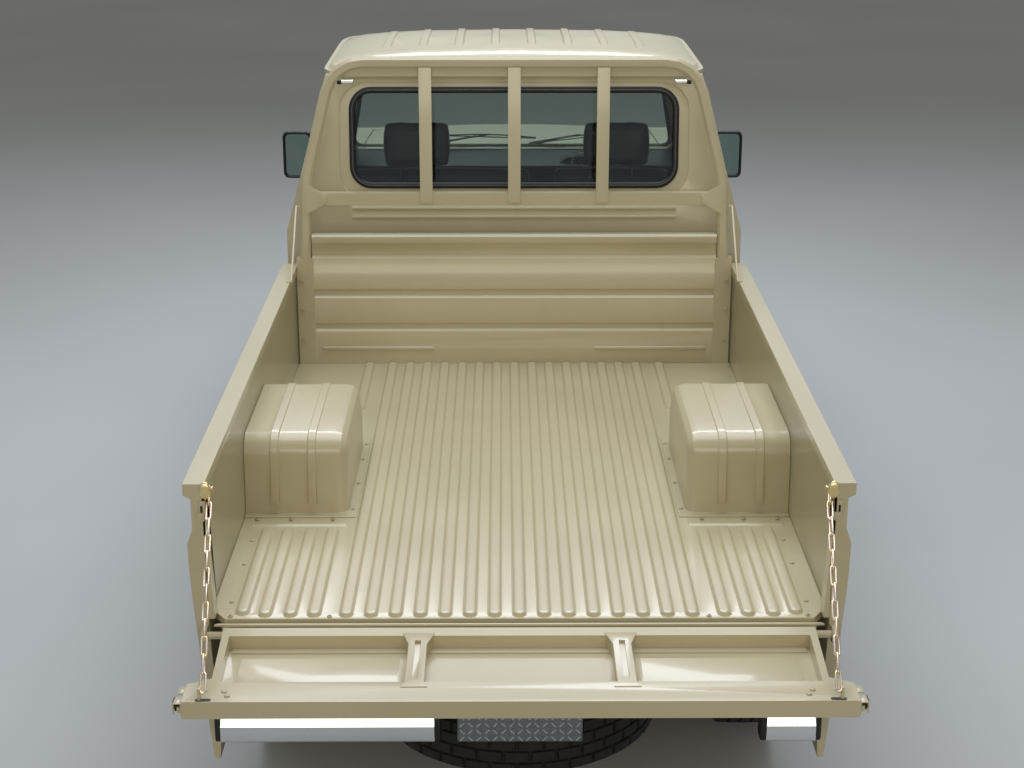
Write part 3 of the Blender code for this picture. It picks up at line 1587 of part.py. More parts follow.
def roof_height_at(x, y):
    full = roof_rise - roof_rib_height
    rows = roof_stations()
    for (y0, share0, pull0), (y1, share1, pull1) in zip(rows, rows[1:]):
        if y0 <= y <= y1:
            t = (y - y0) / (y1 - y0)
            share = share0 + (share1 - share0) * t
            half = drip_half + roof_overhang - pull0 - (pull1 - pull0) * t
            return drip_height + seat_gap + roof_rise_at(x, half, full * share)
    return drip_height


def roof_form(name, inset, bottom):
    """The closed form of the roof, or one parallel to it inside, as sections along the truck."""
    steps = roof_arch_steps
    low = drip_height + seat_gap
    full = roof_rise - roof_rib_height
    sections = []
    rows = roof_stations()
    for i, (y, share, pull) in enumerate(rows):
        half = drip_half + roof_overhang - pull - inset
        height = full * share - inset
        place = y + inset if i < len(rows) / 2 else y - inset
        arch = []
        for k in range(steps + 1):
            turn = math.pi * k / steps
            x = half * math.copysign(abs(math.cos(turn)) ** roof_arch_spread, math.cos(turn))
            x = 0.0 if k * 2 == steps else x
            arch.append((x, place, low + max(0.004, roof_rise_at(x, half, height))))
        sections.append([(-half, place, bottom)] + arch[::-1] + [(half, place, bottom)])
    return loft(name, sections)


def make_roof_panel():
    """The crowned roof skin with its drip lip and lengthwise ribs, hollow below; it falls away forwards."""
    low = drip_height + seat_gap
    roof = roof_form("roof_panel", 0, low)
    rows = roof_stations()
    plan = [(drip_half + roof_overhang - pull + roof_lip, y) for y, share, pull in rows]
    plan[0] = (plan[0][0], plan[0][1] - roof_lip)
    plan[-1] = (plan[-1][0], plan[-1][1] + roof_lip)
    outline = plan + [(-x, y) for x, y in reversed(plan)]
    fuse(roof, prism("lip", outline, "Z", low, low + roof_lip_height))
    cut(roof, roof_form("hollow", roof_sheet, low - 0.05))
    rib_rear, rib_front = rows[3][0], rows[-3][0] - 0.02
    count = roof_rib_steps
    for side in (LEFT, RIGHT):
        for x in roof_rib_x:
            sections = []
            for i in range(count + 1):
                y = rib_rear + (rib_front - rib_rear) * i / count
                rise = -roof_rib_height if i in (0, count) else roof_rib_height
                y += 0.03 if i == 0 else 0
                section = []
                for u, z in ((-roof_rib_half, -2 * roof_rib_height), (-roof_rib_half, 0),
                             (-roof_rib_half + roof_rib_slope, rise), (roof_rib_half - roof_rib_slope, rise),
                             (roof_rib_half, 0), (roof_rib_half, -2 * roof_rib_height)):
                    foot = min(z, rise)
                    section.append((side * x + u, y, roof_height_at(side * x + u, y) + foot))
                sections.append(section)
            fuse(roof, loft("rib", sections))
    return finish(roof, "paint")


def make_rear_window():
    low = (-window_half + seat_gap, window_low + seat_gap)
    high = (window_half - seat_gap, window_high - seat_gap)
    outline = round_corner_rect(low, high, window_corner - seat_gap, 5)
    start = ahead(cab_back_ahead) + 0.012
    glass = prism("rear_window", outline, "Y", start, start + glass_thickness)
    return finish(leaned(glass, back_lean / (drip_height - waist_height), waist_height), "glass")


def make_windscreen():
    start = ahead(cab_front_ahead) + screen_overhang - 0.03
    glass = prism("windscreen", screen_outline(seat_gap), "Y", start, start + glass_thickness)
    return finish(leaned(glass, -screen_rake, waist_height), "glass")


def make_door(side):
    """A door as thick as the wall, with its window cut, taken from the same form as the cab."""
    name = f"door_{SIDE_NAMES[side]}"
    door = cab_form(name, 0, rocker_low - 0.2)
    cut(door, cab_hollow(cab_wall, rocker_low - 0.3))
    outline = door_outline(shut_gap, door_low + shut_gap, door_top_ease)
    fuse(door, side_bead("side_bead", side, ahead(door_rear), ahead(door_front)))
    keep_inside(door, prism("outline", outline, "X", side * 0.45, side * 1.0))
    cut(door, prism("window", window_outline(0), "X", side * 0.4, side * 1.0))
    for z in door_hinge_heights:
        fuse(door, moving_door_hinge(side, z))
    return finish(door, "paint")


def make_door_glass(side):
    name = f"door_glass_{SIDE_NAMES[side]}"
    glass = cab_form(name, 0.022, rocker_low)
    cut(glass, cab_hollow(0.022 + glass_thickness, rocker_low - 0.1))
    keep_inside(glass, prism("outline", window_outline(seat_gap), "X", side * 0.45, side * 1.0))
    return finish(glass, "glass")


def make_mirror(side):
    y = ahead(cab_back_ahead + mirror_ahead)
    low, high = (side * mirror_inner, mirror_low), (side * mirror_outer, mirror_high)
    outline = round_corner_rect((min(low[0], high[0]), low[1]), (max(low[0], high[0]), high[1]), 0.03, 3)
    mirror = prism(f"mirror_{SIDE_NAMES[side]}", outline, "Y", y, y + mirror_depth)
    foot_x = side * (cab_half + seat_gap)
    foot = block("foot", (foot_x, y + 0.005, mirror_low - 0.06),
                 (side * (cab_half + 0.03), y + mirror_depth - 0.005, mirror_low + 0.03))
    return finish(fuse(mirror, foot), "black_plastic")


def make_seat(name, x, width):
    rear = ahead(cab_back_ahead + seat_rear_ahead)
    front = rear + seat_length
    base_low = cab_floor_top + seat_gap
    half = width / 2
    outline = [
        (rear + 0.10, base_low), (front - 0.04, base_low), (front, seat_base_height - 0.10),
        (front - 0.02, seat_base_height), (rear + 0.17, seat_base_height - 0.03),
        (rear + 0.10, seat_back_height), (rear, seat_back_height), (rear + 0.03, seat_base_height - 0.2),
    ]
    seat = prism(name, outline, "X", x - half, x + half)
    seat = rounded(seat, 0.025, 1, 30)
    head_half = 0.13
    rest = block("rest", (x - head_half, rear + 0.0, seat_back_height - 0.03),
                 (x + head_half, rear + 0.09, headrest_height))
    fuse(seat, rounded(rest, 0.03, 1, 30))
    return finish(seat, "seat_cloth")


def steering_wheel_centre():
    return Vector((driver_seat_x, ahead(cab_back_ahead + steering_wheel_ahead), steering_wheel_height))


def column_direction():
    tilt = math.radians(column_tilt)
    return Vector((0, -math.cos(tilt), math.sin(tilt)))


def make_dashboard():
    half = cab_half - cab_wall - 0.008
    front = ahead(cab_front_ahead) - cab_wall - seat_gap
    rear = front - dash_depth
    outline = [(rear + 0.05, dash_low), (front, dash_low), (front, dash_high - 0.06),
               (front, dash_high - 0.02), (rear + 0.05, dash_high), (rear, dash_high - 0.04),
               (rear, dash_low + 0.08)]
    dash = prism("dashboard", outline, "X", -half, half)
    centre = steering_wheel_centre()
    direction = column_direction()
    start = centre - direction * column_stop
    reach = (start.y - (rear + 0.05)) / direction.y
    end = start - direction * abs(reach) * 1.05
    fuse(dash, rod("column", start, end, column_radius, 14))
    return finish(dash, "black_plastic")


def make_steering_wheel():
    centre = steering_wheel_centre()
    direction = column_direction()
    across = Vector((1, 0, 0))
    upward = direction.cross(across)
    sides = 18
    path = []
    for i in range(sides):
        angle = 2 * math.pi * i / sides
        path.append(centre + (across * math.cos(angle) + upward * math.sin(angle)) * steering_wheel_radius)
    wheel = swept("steering_wheel", path, round_section(steering_wheel_rim, 6), direction, closed=True)
    hub_start = centre - direction * (column_stop - pin_gap)
    fuse(wheel, rod("hub", hub_start, centre + direction * 0.01, 0.045, 14))
    for angle in (0, 180, 270):
        turn = math.radians(angle)
        tip = centre + (across * math.cos(turn) + upward * math.sin(turn)) * steering_wheel_radius
        fuse(wheel, rod("spoke", centre - direction * 0.008, tip, 0.010, 6))
    return finish(wheel, "black_plastic")


# Nose


def nose_height(y):
    """The height of the hood line at a place along the nose."""
    rear = ahead(cab_front_ahead) + screen_overhang
    front = ahead(nose_ahead - front_panel_back)
    return nose_rear_height + (nose_front_height - nose_rear_height) * (y - rear) / (front - rear)


def make_hood():
    rear = ahead(cab_front_ahead) + screen_overhang + shut_gap * 2
    front = ahead(nose_ahead - front_panel_back) - shut_gap
    half = hood_half - shut_gap
    stations = 9
    sections = []
    rows = ((rear, 0), ((rear + front) / 2, 0), (front - hood_nose_round, 0), (front, hood_nose_drop))
    for y, drop in rows:
        top, bottom = [], []
        for i in range(stations):
            t = 2 * i / (stations - 1) - 1
            z = nose_height(y) + hood_crown * (1 - t * t) - drop
            top.append((half * t, y, z))
            bottom.append((half * t, y, z - hood_sheet))
        sections.append(top + bottom[::-1])
    hood = loft("hood", sections)
    for side in (LEFT, RIGHT):
        centre = hood_hinge_centre(side)
        reach = hinge_barrel_length + 0.004
        notch = block("notch", centre - Vector((reach, 0.05, 0.05)), centre + Vector((reach, 0.016, 0.05)))
        fuse(cut(hood, notch), moving_hood_hinge(side))
    return finish(hood, "paint")


def liner_outline():
    """Half a ring round the front wheel, from the frame's height upwards, in Y and Z."""
    rings = []
    for radius in (arch_radius + liner_step, arch_radius + liner_step + apron_sheet):
        start = math.asin((frame_top - axle_height) / radius)
        turns = [start + (math.pi - 2 * start) * i / arch_sides for i in range(arch_sides + 1)]
        rings.append([
            (front_axle_y + radius * math.cos(a), axle_height + radius * math.sin(a)) for a in turns
        ])
    return rings[0] + rings[1][::-1]


def fender_edge_cutter(side, start, end):
    """What is taken off a fender to round its long top edge."""
    radius, steps, spare = fender_round, 3, 0.02
    sections = []
    for y in (start, end):
        high = nose_height(y)
        section = [(side * (cab_half - radius), y, high + spare)]
        for i in range(steps + 1):
            turn = math.pi / 2 * (1 - i / steps)
            x = cab_half - radius + radius * math.cos(turn)
            section.append((side * x, y, high - radius + radius * math.sin(turn)))
        outer = side * (cab_half + spare)
        section += [(outer, y, high - radius), (outer, y, high + spare)]
        sections.append(section)
    return loft("edge", sections)


def make_fender(side):
    """Side skin, top strip, inner apron and wheel liner, open below and towards the engine."""
    name = f"front_fender_{SIDE_NAMES[side]}"
    rear = ahead(door_front) + shut_gap
    top_rear = ahead(cab_front_ahead) + screen_overhang + shut_gap
    front = ahead(nose_ahead - front_panel_back) - seat_gap
    low = rocker_low
    over_bumper = front_bumper_high + shut_gap
    turn = front - front_bumper_return - front_bumper_depth
    skirt = [(rear, low), (front_axle_y, low), (turn, over_bumper), (front, over_bumper),
             (front, nose_height(front)), (top_rear, nose_height(top_rear)),
             (top_rear - 0.02, waist_height - 0.003), (rear, waist_height - 0.003)]
    fender = prism(name, skirt, "X", side * (cab_half - fender_sheet), side * cab_half)
    strip = [(top_rear, nose_height(top_rear) - fender_sheet), (front, nose_height(front) - fender_sheet),
             (front, nose_height(front)), (top_rear, nose_height(top_rear))]
    fuse(fender, prism("strip", strip, "X", side * hood_half, side * (cab_half - 0.005)))
    cut(fender, fender_edge_cutter(side, top_rear - 0.01, front + 0.01))
    fuse(fender, side_bead("side_bead", side, rear, front - 0.05))
    fuse(fender, arch_lip(front_axle_y, side, cab_half + arch_lip_out, rocker_low + 0.004))
    cut(fender, arch_cutter(front_axle_y, side * (cab_half - 0.045), side * (cab_half + 0.1)))
    liner = prism("liner", liner_outline(), "X", side * apron_x, side * (cab_half - fender_sheet / 2))
    shelf = nose_height(front) - apron_shelf_drop
    post = nose_height(front) - 0.01
    apron = [
        (apron_x, frame_top - 0.02), (apron_x + apron_sheet, frame_top - 0.02),
        (apron_x + apron_sheet, shelf),
        (hood_half + apron_sheet, shelf), (hood_half + apron_sheet, post), (hood_half, post),
        (hood_half, shelf + apron_sheet), (apron_x, shelf + apron_sheet),
    ]
    wall = prism("apron", [(side * x, z) for x, z in apron], "Y", ahead(cab_front_ahead) + 0.02, front)
    fuse(fender, fuse(liner, wall))
    for z in door_hinge_heights:
        add_fixed_door_hinge(fender, side, z)
    return finish(fender, "paint")


def make_front_panel():
    """The panel between the fenders that holds the grille and the headlamps."""
    back = ahead(nose_ahead - front_panel_back)
    front = back + front_panel_depth
    top = nose_front_height
    ease = fender_round
    outline = [(-cab_half, front_panel_low), (cab_half, front_panel_low), (cab_half, top - ease),
               (cab_half - ease * 0.3, top - ease * 0.3), (cab_half - ease, top)]
    steps = 8
    for i in range(steps + 1):
        t = 1 - 2 * i / steps
        outline.append((t * hood_half, top + hood_crown * (1 - t * t) - hood_nose_drop * (1 - t ** 4)))
    outline += [(-cab_half + ease, top), (-cab_half + ease * 0.3, top - ease * 0.3), (-cab_half, top - ease)]
    panel = prism("front_panel", outline, "Y", back, front)
    low, high = (-grille_half, grille_low), (grille_half, grille_high)
    cut(panel, prism("mouth", round_corner_rect(low, high, 0.02, 2), "Y", back - 0.1, front + 0.1))
    for side in (LEFT, RIGHT):
        cut(panel, prism("lamp_hole", lamp_outline(side, 0), "Y", back - 0.1, front + 0.1))
    return finish(panel, "paint")


def lamp_outline(side, inset):
    inner, outer = sorted((side * lamp_inner, side * lamp_outer))
    low, high = (inner + inset, grille_low + 0.01 + inset), (outer - inset, grille_high - 0.01 - inset)
    return round_corner_rect(low, high, 0.025, 3)


def make_headlamp(side):
    back = ahead(nose_ahead - front_panel_back)
    front = back + front_panel_depth + 0.006
    lamp = prism(f"headlamp_{SIDE_NAMES[side]}", lamp_outline(side, seat_gap), "Y", back, front)
    return finish(lamp, "lamp")


def make_grille():
    back = ahead(nose_ahead - front_panel_back) + 0.008
    front = back + front_panel_depth - 0.01
    low = (-grille_half + seat_gap, grille_low + seat_gap)
    high = (grille_half - seat_gap, grille_high - seat_gap)
    grille = prism("grille", round_corner_rect(low, high, 0.02, 2), "Y", back, front)
    frame = 0.02
    gap = (high[1] - low[1] - frame) / grille_slats
    for i in range(grille_slats):
        z = low[1] + frame + i * gap
        slot_high = (high[0] - frame, front + 0.1, z + gap - frame)
        cut(grille, block("slot", (low[0] + frame, back - 0.1, z), slot_high))
    return finish(grille, "black_plastic")


def make_front_bumper():
    front = ahead(nose_ahead)
    back = front - front_bumper_depth
    half = front_bumper_half
    turn = 0.06
    outline = [(-half, back - front_bumper_return), (-half, front - turn), (-half + turn, front),
               (half - turn, front), (half, front - turn), (half, back - front_bumper_return),
               (half - 0.02, back - front_bumper_return), (half - 0.02, back), (-half + 0.02, back),
               (-half + 0.02, back - front_bumper_return)]
    return finish(prism("front_bumper", outline, "Z", front_bumper_low, front_bumper_high), "chrome")


# Rear bumpers and step


def make_rear_bumper(name, inner, outer, side):
    face = ahead(-bumper_face_back)
    low, high = sorted((side * inner, side * outer))
    outline = round_corner_rect((face, bumper_low), (face + bumper_depth, bumper_high), 0.015, 3)
    bar = prism(name, outline, "X", low, high)
    low, high = bumper_low + 0.015, bumper_high - 0.015
    inside = max(inner + 0.01, rail_x - bracket_width / 2)
    outside = inside + bracket_width
    seat = ahead(0) - seat_gap
    if inner < rail_x:
        fuse(bar, block("arm", (side * inside, face + 0.04, low), (side * outside, seat, high)))
    else:
        arm = block("arm", (side * inside, face + 0.04, low), (side * outside, seat - 0.02, high))
        link = block("link", (side * (rail_x - bracket_width / 2), seat - 0.05, low + 0.002),
                     (side * (outside - 0.002), seat, high - 0.002))
        fuse(bar, fuse(arm, link))
    return finish(bar, "chrome")


def make_rear_step():
    face = ahead(-bumper_face_back)
    step = block("rear_step", (-step_half, face, bumper_low),
                 (step_half, face + bumper_depth + 0.02, bumper_high - 0.02))
    tongue = block("tongue", (-0.04, face + 0.04, bumper_low + 0.02),
                   (0.04, ahead(0.10) - member_width / 2 - seat_gap, bumper_low + 0.065))
    return finish(fuse(step, tongue), "chrome")


def make_tail_lamp(side):
    """A tail lamp that stands on the rear bumper, under the open tailgate."""
    half = tail_lamp_width / 2
    inner, outer = sorted((side * (tail_lamp_x - half), side * (tail_lamp_x + half)))
    low = bumper_high + seat_gap
    outline = round_corner_rect((inner, low), (outer, low + tail_lamp_height), 0.012, 3)
    rear = ahead(-bumper_face_back) + 0.012
    lamp = prism(f"tail_lamp_{SIDE_NAMES[side]}", outline, "Y", rear, rear + bumper_depth - 0.02)
    return finish(lamp, "lamp")


def build():
    clear_scene()
    make_chassis()
    make_rear_axle()
    make_front_axle()
    make_spare_wheel()
    make_powertrain()
    make_fuel_tank()
    make_exhaust()
    make_bed_floor()
    make_headboard()
    make_guard_frame()
    make_cab_shell()
    make_roof_panel()
    make_rear_window()
    make_windscreen()
    make_dashboard()
    make_seat("driver_seat", driver_seat_x, driver_seat_width)
    make_seat("passenger_seat", passenger_seat_x, passenger_seat_width)
    make_front_panel()
    make_grille()
    make_front_bumper()
    make_rear_step()
    make_rear_bumper("rear_bumper_left", left_bumper_inner, left_bumper_outer, LEFT)
    make_rear_bumper("rear_bumper_right", right_bumper_inner, right_bumper_outer, RIGHT)
    hinge = (0, hinge_y(), hinge_z())
    gate = carry("tailgate", hinge, [make_tailgate()])
    hood_pin = hood_hinge_centre(RIGHT)
    carry("hood", (0, hood_pin.y, hood_pin.z), [make_hood()])
    carry("steering_wheel", steering_wheel_centre(), [make_steering_wheel()])
    for side in (LEFT, RIGHT):
        word = SIDE_NAMES[side]
        make_bed_side(side)
        make_wheelhouse(side)
        make_fender(side)
        make_headlamp(side)
        make_tail_lamp(side)
        top, foot = chain_top(side), chain_foot(side)
        carry(f"chain_upper_{word}", top, [make_chain_half(f"chain_upper_{word}", top, foot)])
        carry(f"chain_lower_{word}", foot, [make_chain_half(f"chain_lower_{word}", foot, top)], gate)
        door_pivot = (side * (cab_half + door_pin_out), ahead(door_front), cab_floor_top)
        carry(f"door_{word}", door_pivot, [make_door(side), make_door_glass(side), make_mirror(side)])
        steer_pivot = (side * kingpin_x, front_axle_y, axle_height)
        knuckle = carry(f"knuckle_{word}", steer_pivot, [make_knuckle(side)])
        if side == LEFT:
            carry("tie_rod", (*steering_pivot(LEFT), axle_height), [make_tie_rod()], knuckle)
        front = (side * front_wheel_x, front_axle_y, axle_height)
        front_pieces = [make_tyre(f"tyre_front_{word}", front[0], front[1]),
                        make_rim(f"rim_front_{word}", front[0], front[1], side)]
        carry(f"wheel_front_{word}", front, front_pieces, knuckle)
        rear = (side * rear_wheel_x, rear_axle_y, axle_height)
        rear_pieces = [make_tyre(f"tyre_rear_{word}", rear[0], rear[1]),
                       make_rim(f"rim_rear_{word}", rear[0], rear[1], side)]
        carry(f"wheel_rear_{word}", rear, rear_pieces)


build()
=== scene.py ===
import json
import math

import bmesh
import bpy
from mathutils import Matrix, Vector


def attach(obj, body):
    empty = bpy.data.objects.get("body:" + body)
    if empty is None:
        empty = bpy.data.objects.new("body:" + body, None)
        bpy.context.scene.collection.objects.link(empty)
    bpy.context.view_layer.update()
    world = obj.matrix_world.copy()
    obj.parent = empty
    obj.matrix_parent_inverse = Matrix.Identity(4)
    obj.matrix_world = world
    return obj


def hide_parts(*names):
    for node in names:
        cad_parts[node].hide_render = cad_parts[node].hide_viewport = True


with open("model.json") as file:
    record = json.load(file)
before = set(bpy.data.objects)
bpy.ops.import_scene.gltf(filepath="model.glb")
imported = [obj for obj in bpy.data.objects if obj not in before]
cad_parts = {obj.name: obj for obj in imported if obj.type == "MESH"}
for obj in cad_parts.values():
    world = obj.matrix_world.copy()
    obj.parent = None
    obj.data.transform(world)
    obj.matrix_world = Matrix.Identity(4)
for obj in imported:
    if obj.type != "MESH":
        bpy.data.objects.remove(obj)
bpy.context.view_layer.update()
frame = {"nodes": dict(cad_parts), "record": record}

LEFT, RIGHT = -1, 1
SIDES = ((LEFT, "left"), (RIGHT, "right"))
X, Y, Z = Vector((1, 0, 0)), Vector((0, 1, 0)), Vector((0, 0, 1))
ALONG_X, ALONG_Y, ALONG_Z = 0, 1, 2

# Places on the truck, in metres, the same as in the part's source
FLOOR = 0.81
BED_REAR = -2.2775
GATE_PIN = (-2.3125, 0.78)
GATE_FAR = -2.7175
GATE_FACE = 0.805
CAB_BACK, CAB_FRONT = 0.0225, 1.4225
CAB_HALF = 0.845
WAIST, DRIP = 1.29, 1.86
SIDE_SLOPE = 0.155 / 0.57
BACK_SLOPE = 0.06 / 0.57
SCREEN_SLOPE = 0.675
DOOR_REAR, DOOR_FRONT = 0.1725, 1.3025
NOSE = 2.7175
NOSE_FACE = NOSE - 0.07
LAMP_X, LAMP_Z = 0.62, 1.005
REAR_AXLE, FRONT_AXLE = -1.2625, 1.9175
AXLE_Z = 0.402 * math.cos(math.pi / 24)
SPRING_X = 0.455
STUD_Y, STUD_Z = -0.03, FLOOR + 1.042
CHAIN_X, HOOK_X, LATCH_X = 0.794, 0.755, 0.806
LINK_WIDTH, LINK_WIRE = 0.019, 0.0033
TREAD_ROWS = ((-0.084, -0.058), (-0.049, -0.022), (-0.014, 0.014), (0.022, 0.049), (0.058, 0.084))
TREAD_DEPTH, TREAD_CROWN = 0.009, 0.3981
DISC_WINDOWS, DISC_STEPS = 10, 8
SWELL_FRAMES = 12


def screen_y(z):
    """Where the windscreen's face stands at a height."""
    return CAB_FRONT + 0.045 - SCREEN_SLOPE * (z - WAIST)


def side_x(side, z):
    """Where the cab's side stands at a height above the waist."""
    return side * (CAB_HALF - SIDE_SLOPE * (z - WAIST))


# Colours and nodes


def linear(hex_colour):
    """An sRGB hex colour as the linear colour that a shader takes."""
    channels = [int(hex_colour[i:i + 2], 16) / 255 for i in (1, 3, 5)]
    return (*[c / 12.92 if c <= 0.04045 else ((c + 0.055) / 1.055) ** 2.4 for c in channels], 1)


def add_node(tree, kind, settings=(), links=()):
    """Adds one node. Settings are (property or socket, value), links are (socket, node, output)."""
    node = tree.nodes.new(kind)
    for name, value in settings:
        if isinstance(name, str) and hasattr(node, name):
            setattr(node, name, value)
        else:
            node.inputs[name].default_value = value
    for name, source, output in links:
        tree.links.new(source.outputs[output], node.inputs[name])
    return node


def material(name, colour, roughness, shades, grain, relief=0.0, rough=None, cells=False, **sockets):
    """A Principled material whose pattern has one grain size, in metres, between two shades.

    relief is the pattern's height in metres, rough the span of its roughness; cells makes it a pebble
    or thread pattern. Constants sit on the shader's own sockets.
    """
    made = bpy.data.materials.new(name)
    made.use_nodes = True
    tree = made.node_tree
    shader = tree.nodes["Principled BSDF"]
    shader.inputs["Base Color"].default_value = linear(colour)
    shader.inputs["Roughness"].default_value = roughness
    for socket, value in sockets.items():
        shader.inputs[socket.replace("_", " ")].default_value = value
    place = add_node(tree, "ShaderNodeTexCoord")
    kind, output = ("ShaderNodeTexVoronoi", "Distance") if cells else ("ShaderNodeTexNoise", "Fac")
    pattern = add_node(tree, kind, [("Scale", 1 / grain)], [("Vector", place, "Object")])
    ramp = add_node(tree, "ShaderNodeValToRGB", (), [("Fac", pattern, output)])
    for element, position, shade in zip(ramp.color_ramp.elements, (0.35, 0.65), shades):
        element.position = position
        element.color = linear(shade)
    tree.links.new(ramp.outputs["Color"], shader.inputs["Base Color"])
    if relief:
        bump = add_node(tree, "ShaderNodeBump", [("Strength", 0.7), ("Distance", relief)],
                        [("Height", pattern, output)])
        tree.links.new(bump.outputs["Normal"], shader.inputs["Normal"])
    if rough:
        span = add_node(tree, "ShaderNodeMapRange", [("To Min", rough[0]), ("To Max", rough[1])],
                        [("Value", pattern, output)])
        tree.links.new(span.outputs["Result"], shader.inputs["Roughness"])
    return made


# Sprayed and baked enamel: a soft sheen under a clear film, its shade drifting over half a metre
sand_enamel = material("sand_enamel", "#c0b797", 0.34, ("#bdb493", "#c3ba9a"), 0.5, rough=(0.30, 0.38),
                       Coat_Weight=0.45, Coat_Roughness=0.1)
# Chassis enamel: thick and half matt, dulled by road dust in 20 mm patches
chassis_enamel = material("chassis_enamel", "#1c1d1e", 0.5, ("#18191a", "#242526"), 0.02, 0.0002,
                          rough=(0.42, 0.62))
# Sand-cast iron: dull, with an 8 mm grain from the mould
cast_iron = material("cast_iron", "#323333", 0.62, ("#2b2c2c", "#3b3c3c"), 0.008, 0.0003, rough=(0.5, 0.72),
                     Metallic=0.6)
# Moulded tyre rubber: black with a fine grey bloom
tyre_rubber = material("tyre_rubber", "#1d1d1d", 0.82, ("#191919", "#242423"), 0.025, 0.0002,
                       rough=(0.74, 0.9))
# Wheel enamel: pale grey, baked on pressed steel, almost even
wheel_enamel = material("wheel_enamel", "#c8c7c1", 0.36, ("#c3c2bc", "#cdccc6"), 0.15, rough=(0.32, 0.42),
                        Coat_Weight=0.2)
# Injection-moulded ABS: a 1.5 mm pebble grain that breaks up its sheen
moulded_black = material("moulded_black", "#161718", 0.55, ("#131415", "#1b1c1d"), 0.0015, 0.00008,
                         cells=True, rough=(0.48, 0.62))
# Extruded window rubber: satin black, smoother than the tyres
window_rubber = material("window_rubber", "#0e0f10", 0.42, ("#0b0c0d", "#131415"), 0.01, rough=(0.36, 0.5))
# Thin grey insert strip of the window rubber: a dull satin line
dull_bead = material("dull_bead", "#56646a", 0.4, ("#4d5b61", "#5f6d73"), 0.02, rough=(0.34, 0.46),
                     Metallic=0.6)
# Chrome plate on polished steel: a near mirror, with a slight haze
bright_chrome = material("bright_chrome", "#e1e3e4", 0.07, ("#dfe1e2", "#e5e7e8"), 0.2, rough=(0.05, 0.10),
                         Metallic=1.0)
# Rolled steel plate, slightly brushed: bright, with soft streaks of gloss
bright_steel = material("bright_steel", "#c9cccd", 0.25, ("#bfc2c3", "#d4d7d8"), 0.004, rough=(0.2, 0.34),
                        Metallic=1.0)
# The same plate, a darker grey between its lozenges
step_steel = material("step_steel", "#7f8486", 0.36, ("#757a7c", "#898e90"), 0.006, rough=(0.3, 0.45),
                      Metallic=1.0)
# Zinc plate with yellow chromate: gold that turns pink from link to link
yellow_zinc = material("yellow_zinc", "#e8d8bc", 0.28, ("#ead7ae", "#e9d6cb"), 0.03, rough=(0.22, 0.36),
                       Metallic=1.0)
# The same plate on thick pressings: a deeper yellow
deep_zinc = material("deep_zinc", "#efdca2", 0.34, ("#ecd694", "#f3e5b8"), 0.02, rough=(0.28, 0.4),
                     Metallic=0.9)
# Clear zinc plate of nuts and pipes: a grey metal with a mottled gloss
screw_zinc = material("screw_zinc", "#b3b4b0", 0.35, ("#a4a5a2", "#c2c3bf"), 0.004, rough=(0.28, 0.42),
                      Metallic=1.0)
# Painted screws: body enamel over a rough head, a shade darker
painted_screw = material("painted_screw", "#b3ab8c", 0.42, ("#aaa284", "#bcb494"), 0.004, rough=(0.35, 0.5))
# Float glass, tinted in the melt: a faint green over what lies behind
green_glass = material("green_glass", "#d6e2df", 0.02, ("#d3e0dc", "#d9e4e1"), 0.5, Transmission_Weight=1.0,
                       IOR=1.45)
# Silvered glass, darkened by its tint
mirror_glass = material("mirror_glass", "#7d8f8e", 0.03, ("#79908e", "#829491"), 0.1, rough=(0.02, 0.04),
                        Metallic=1.0)
# Calendered vinyl: a 1.2 mm leather grain, drawn at 2.5 mm so that it shows
seat_vinyl = material("seat_vinyl", "#101112", 0.5, ("#0d0e0f", "#141516"), 0.0025, 0.00012, cells=True,
                      rough=(0.42, 0.58))
# Woven cloth of the seats' middle panels: its threads drawn at 2 mm so that they show
seat_weave = material("seat_weave", "#1a1c1e", 0.9, ("#141618", "#212325"), 0.002, 0.0002, cells=True,
                      rough=(0.82, 0.95), Sheen_Weight=0.2)
# Pressed clear glass: fine flutes that blur what is behind
clear_lens = material("clear_lens", "#eef1f1", 0.06, ("#ebeeee", "#f2f4f4"), 0.01, 0.0003,
                      Transmission_Weight=0.9, IOR=1.5)
# Moulded red acrylic: deep colour under a hard gloss
red_lens = material("red_lens", "#a8120f", 0.12, ("#9e100d", "#b31512"), 0.004, 0.0003, Coat_Weight=0.6)
# Moulded amber acrylic: the same gloss
amber_lens = material("amber_lens", "#d9730c", 0.12, ("#d26d0a", "#e07a12"), 0.004, 0.0003, Coat_Weight=0.6)
# Aluminised steel bowl: a mirror, a little clouded
lamp_bowl = material("lamp_bowl", "#d7dadb", 0.12, ("#d2d5d6", "#dcdfe0"), 0.05, Metallic=1.0)
# Pressed rubber mat: dull, with a 4 mm grain
floor_mat = material("floor_mat", "#1f2020", 0.8, ("#1a1b1b", "#262727"), 0.004, 0.0003)
# Foam-backed lining cloth: pale and flat
roof_lining = material("roof_lining", "#b9b5a8", 0.9, ("#b2aea1", "#c0bcaf"), 0.003, 0.0002)
# Seamless studio paper, pale grey: even, with no gloss
studio_floor = material("studio_floor", "#b7bcbe", 0.9, ("#b4b9bb", "#babfc1"), 3.0)
# White ink printed on the dials: flat
dial_ink = material("dial_ink", "#d8dad6", 0.6, ("#d2d4d0", "#dee0dc"), 0.002)

FINISHES = {
    "paint": sand_enamel, "chassis_black": chassis_enamel, "iron": cast_iron, "rubber": tyre_rubber,
    "wheel_paint": wheel_enamel, "black_plastic": moulded_black, "chrome": bright_chrome, "zinc": yellow_zinc,
    "glass": green_glass, "seat_cloth": seat_vinyl, "lamp": clear_lens,
}


# Making pieces


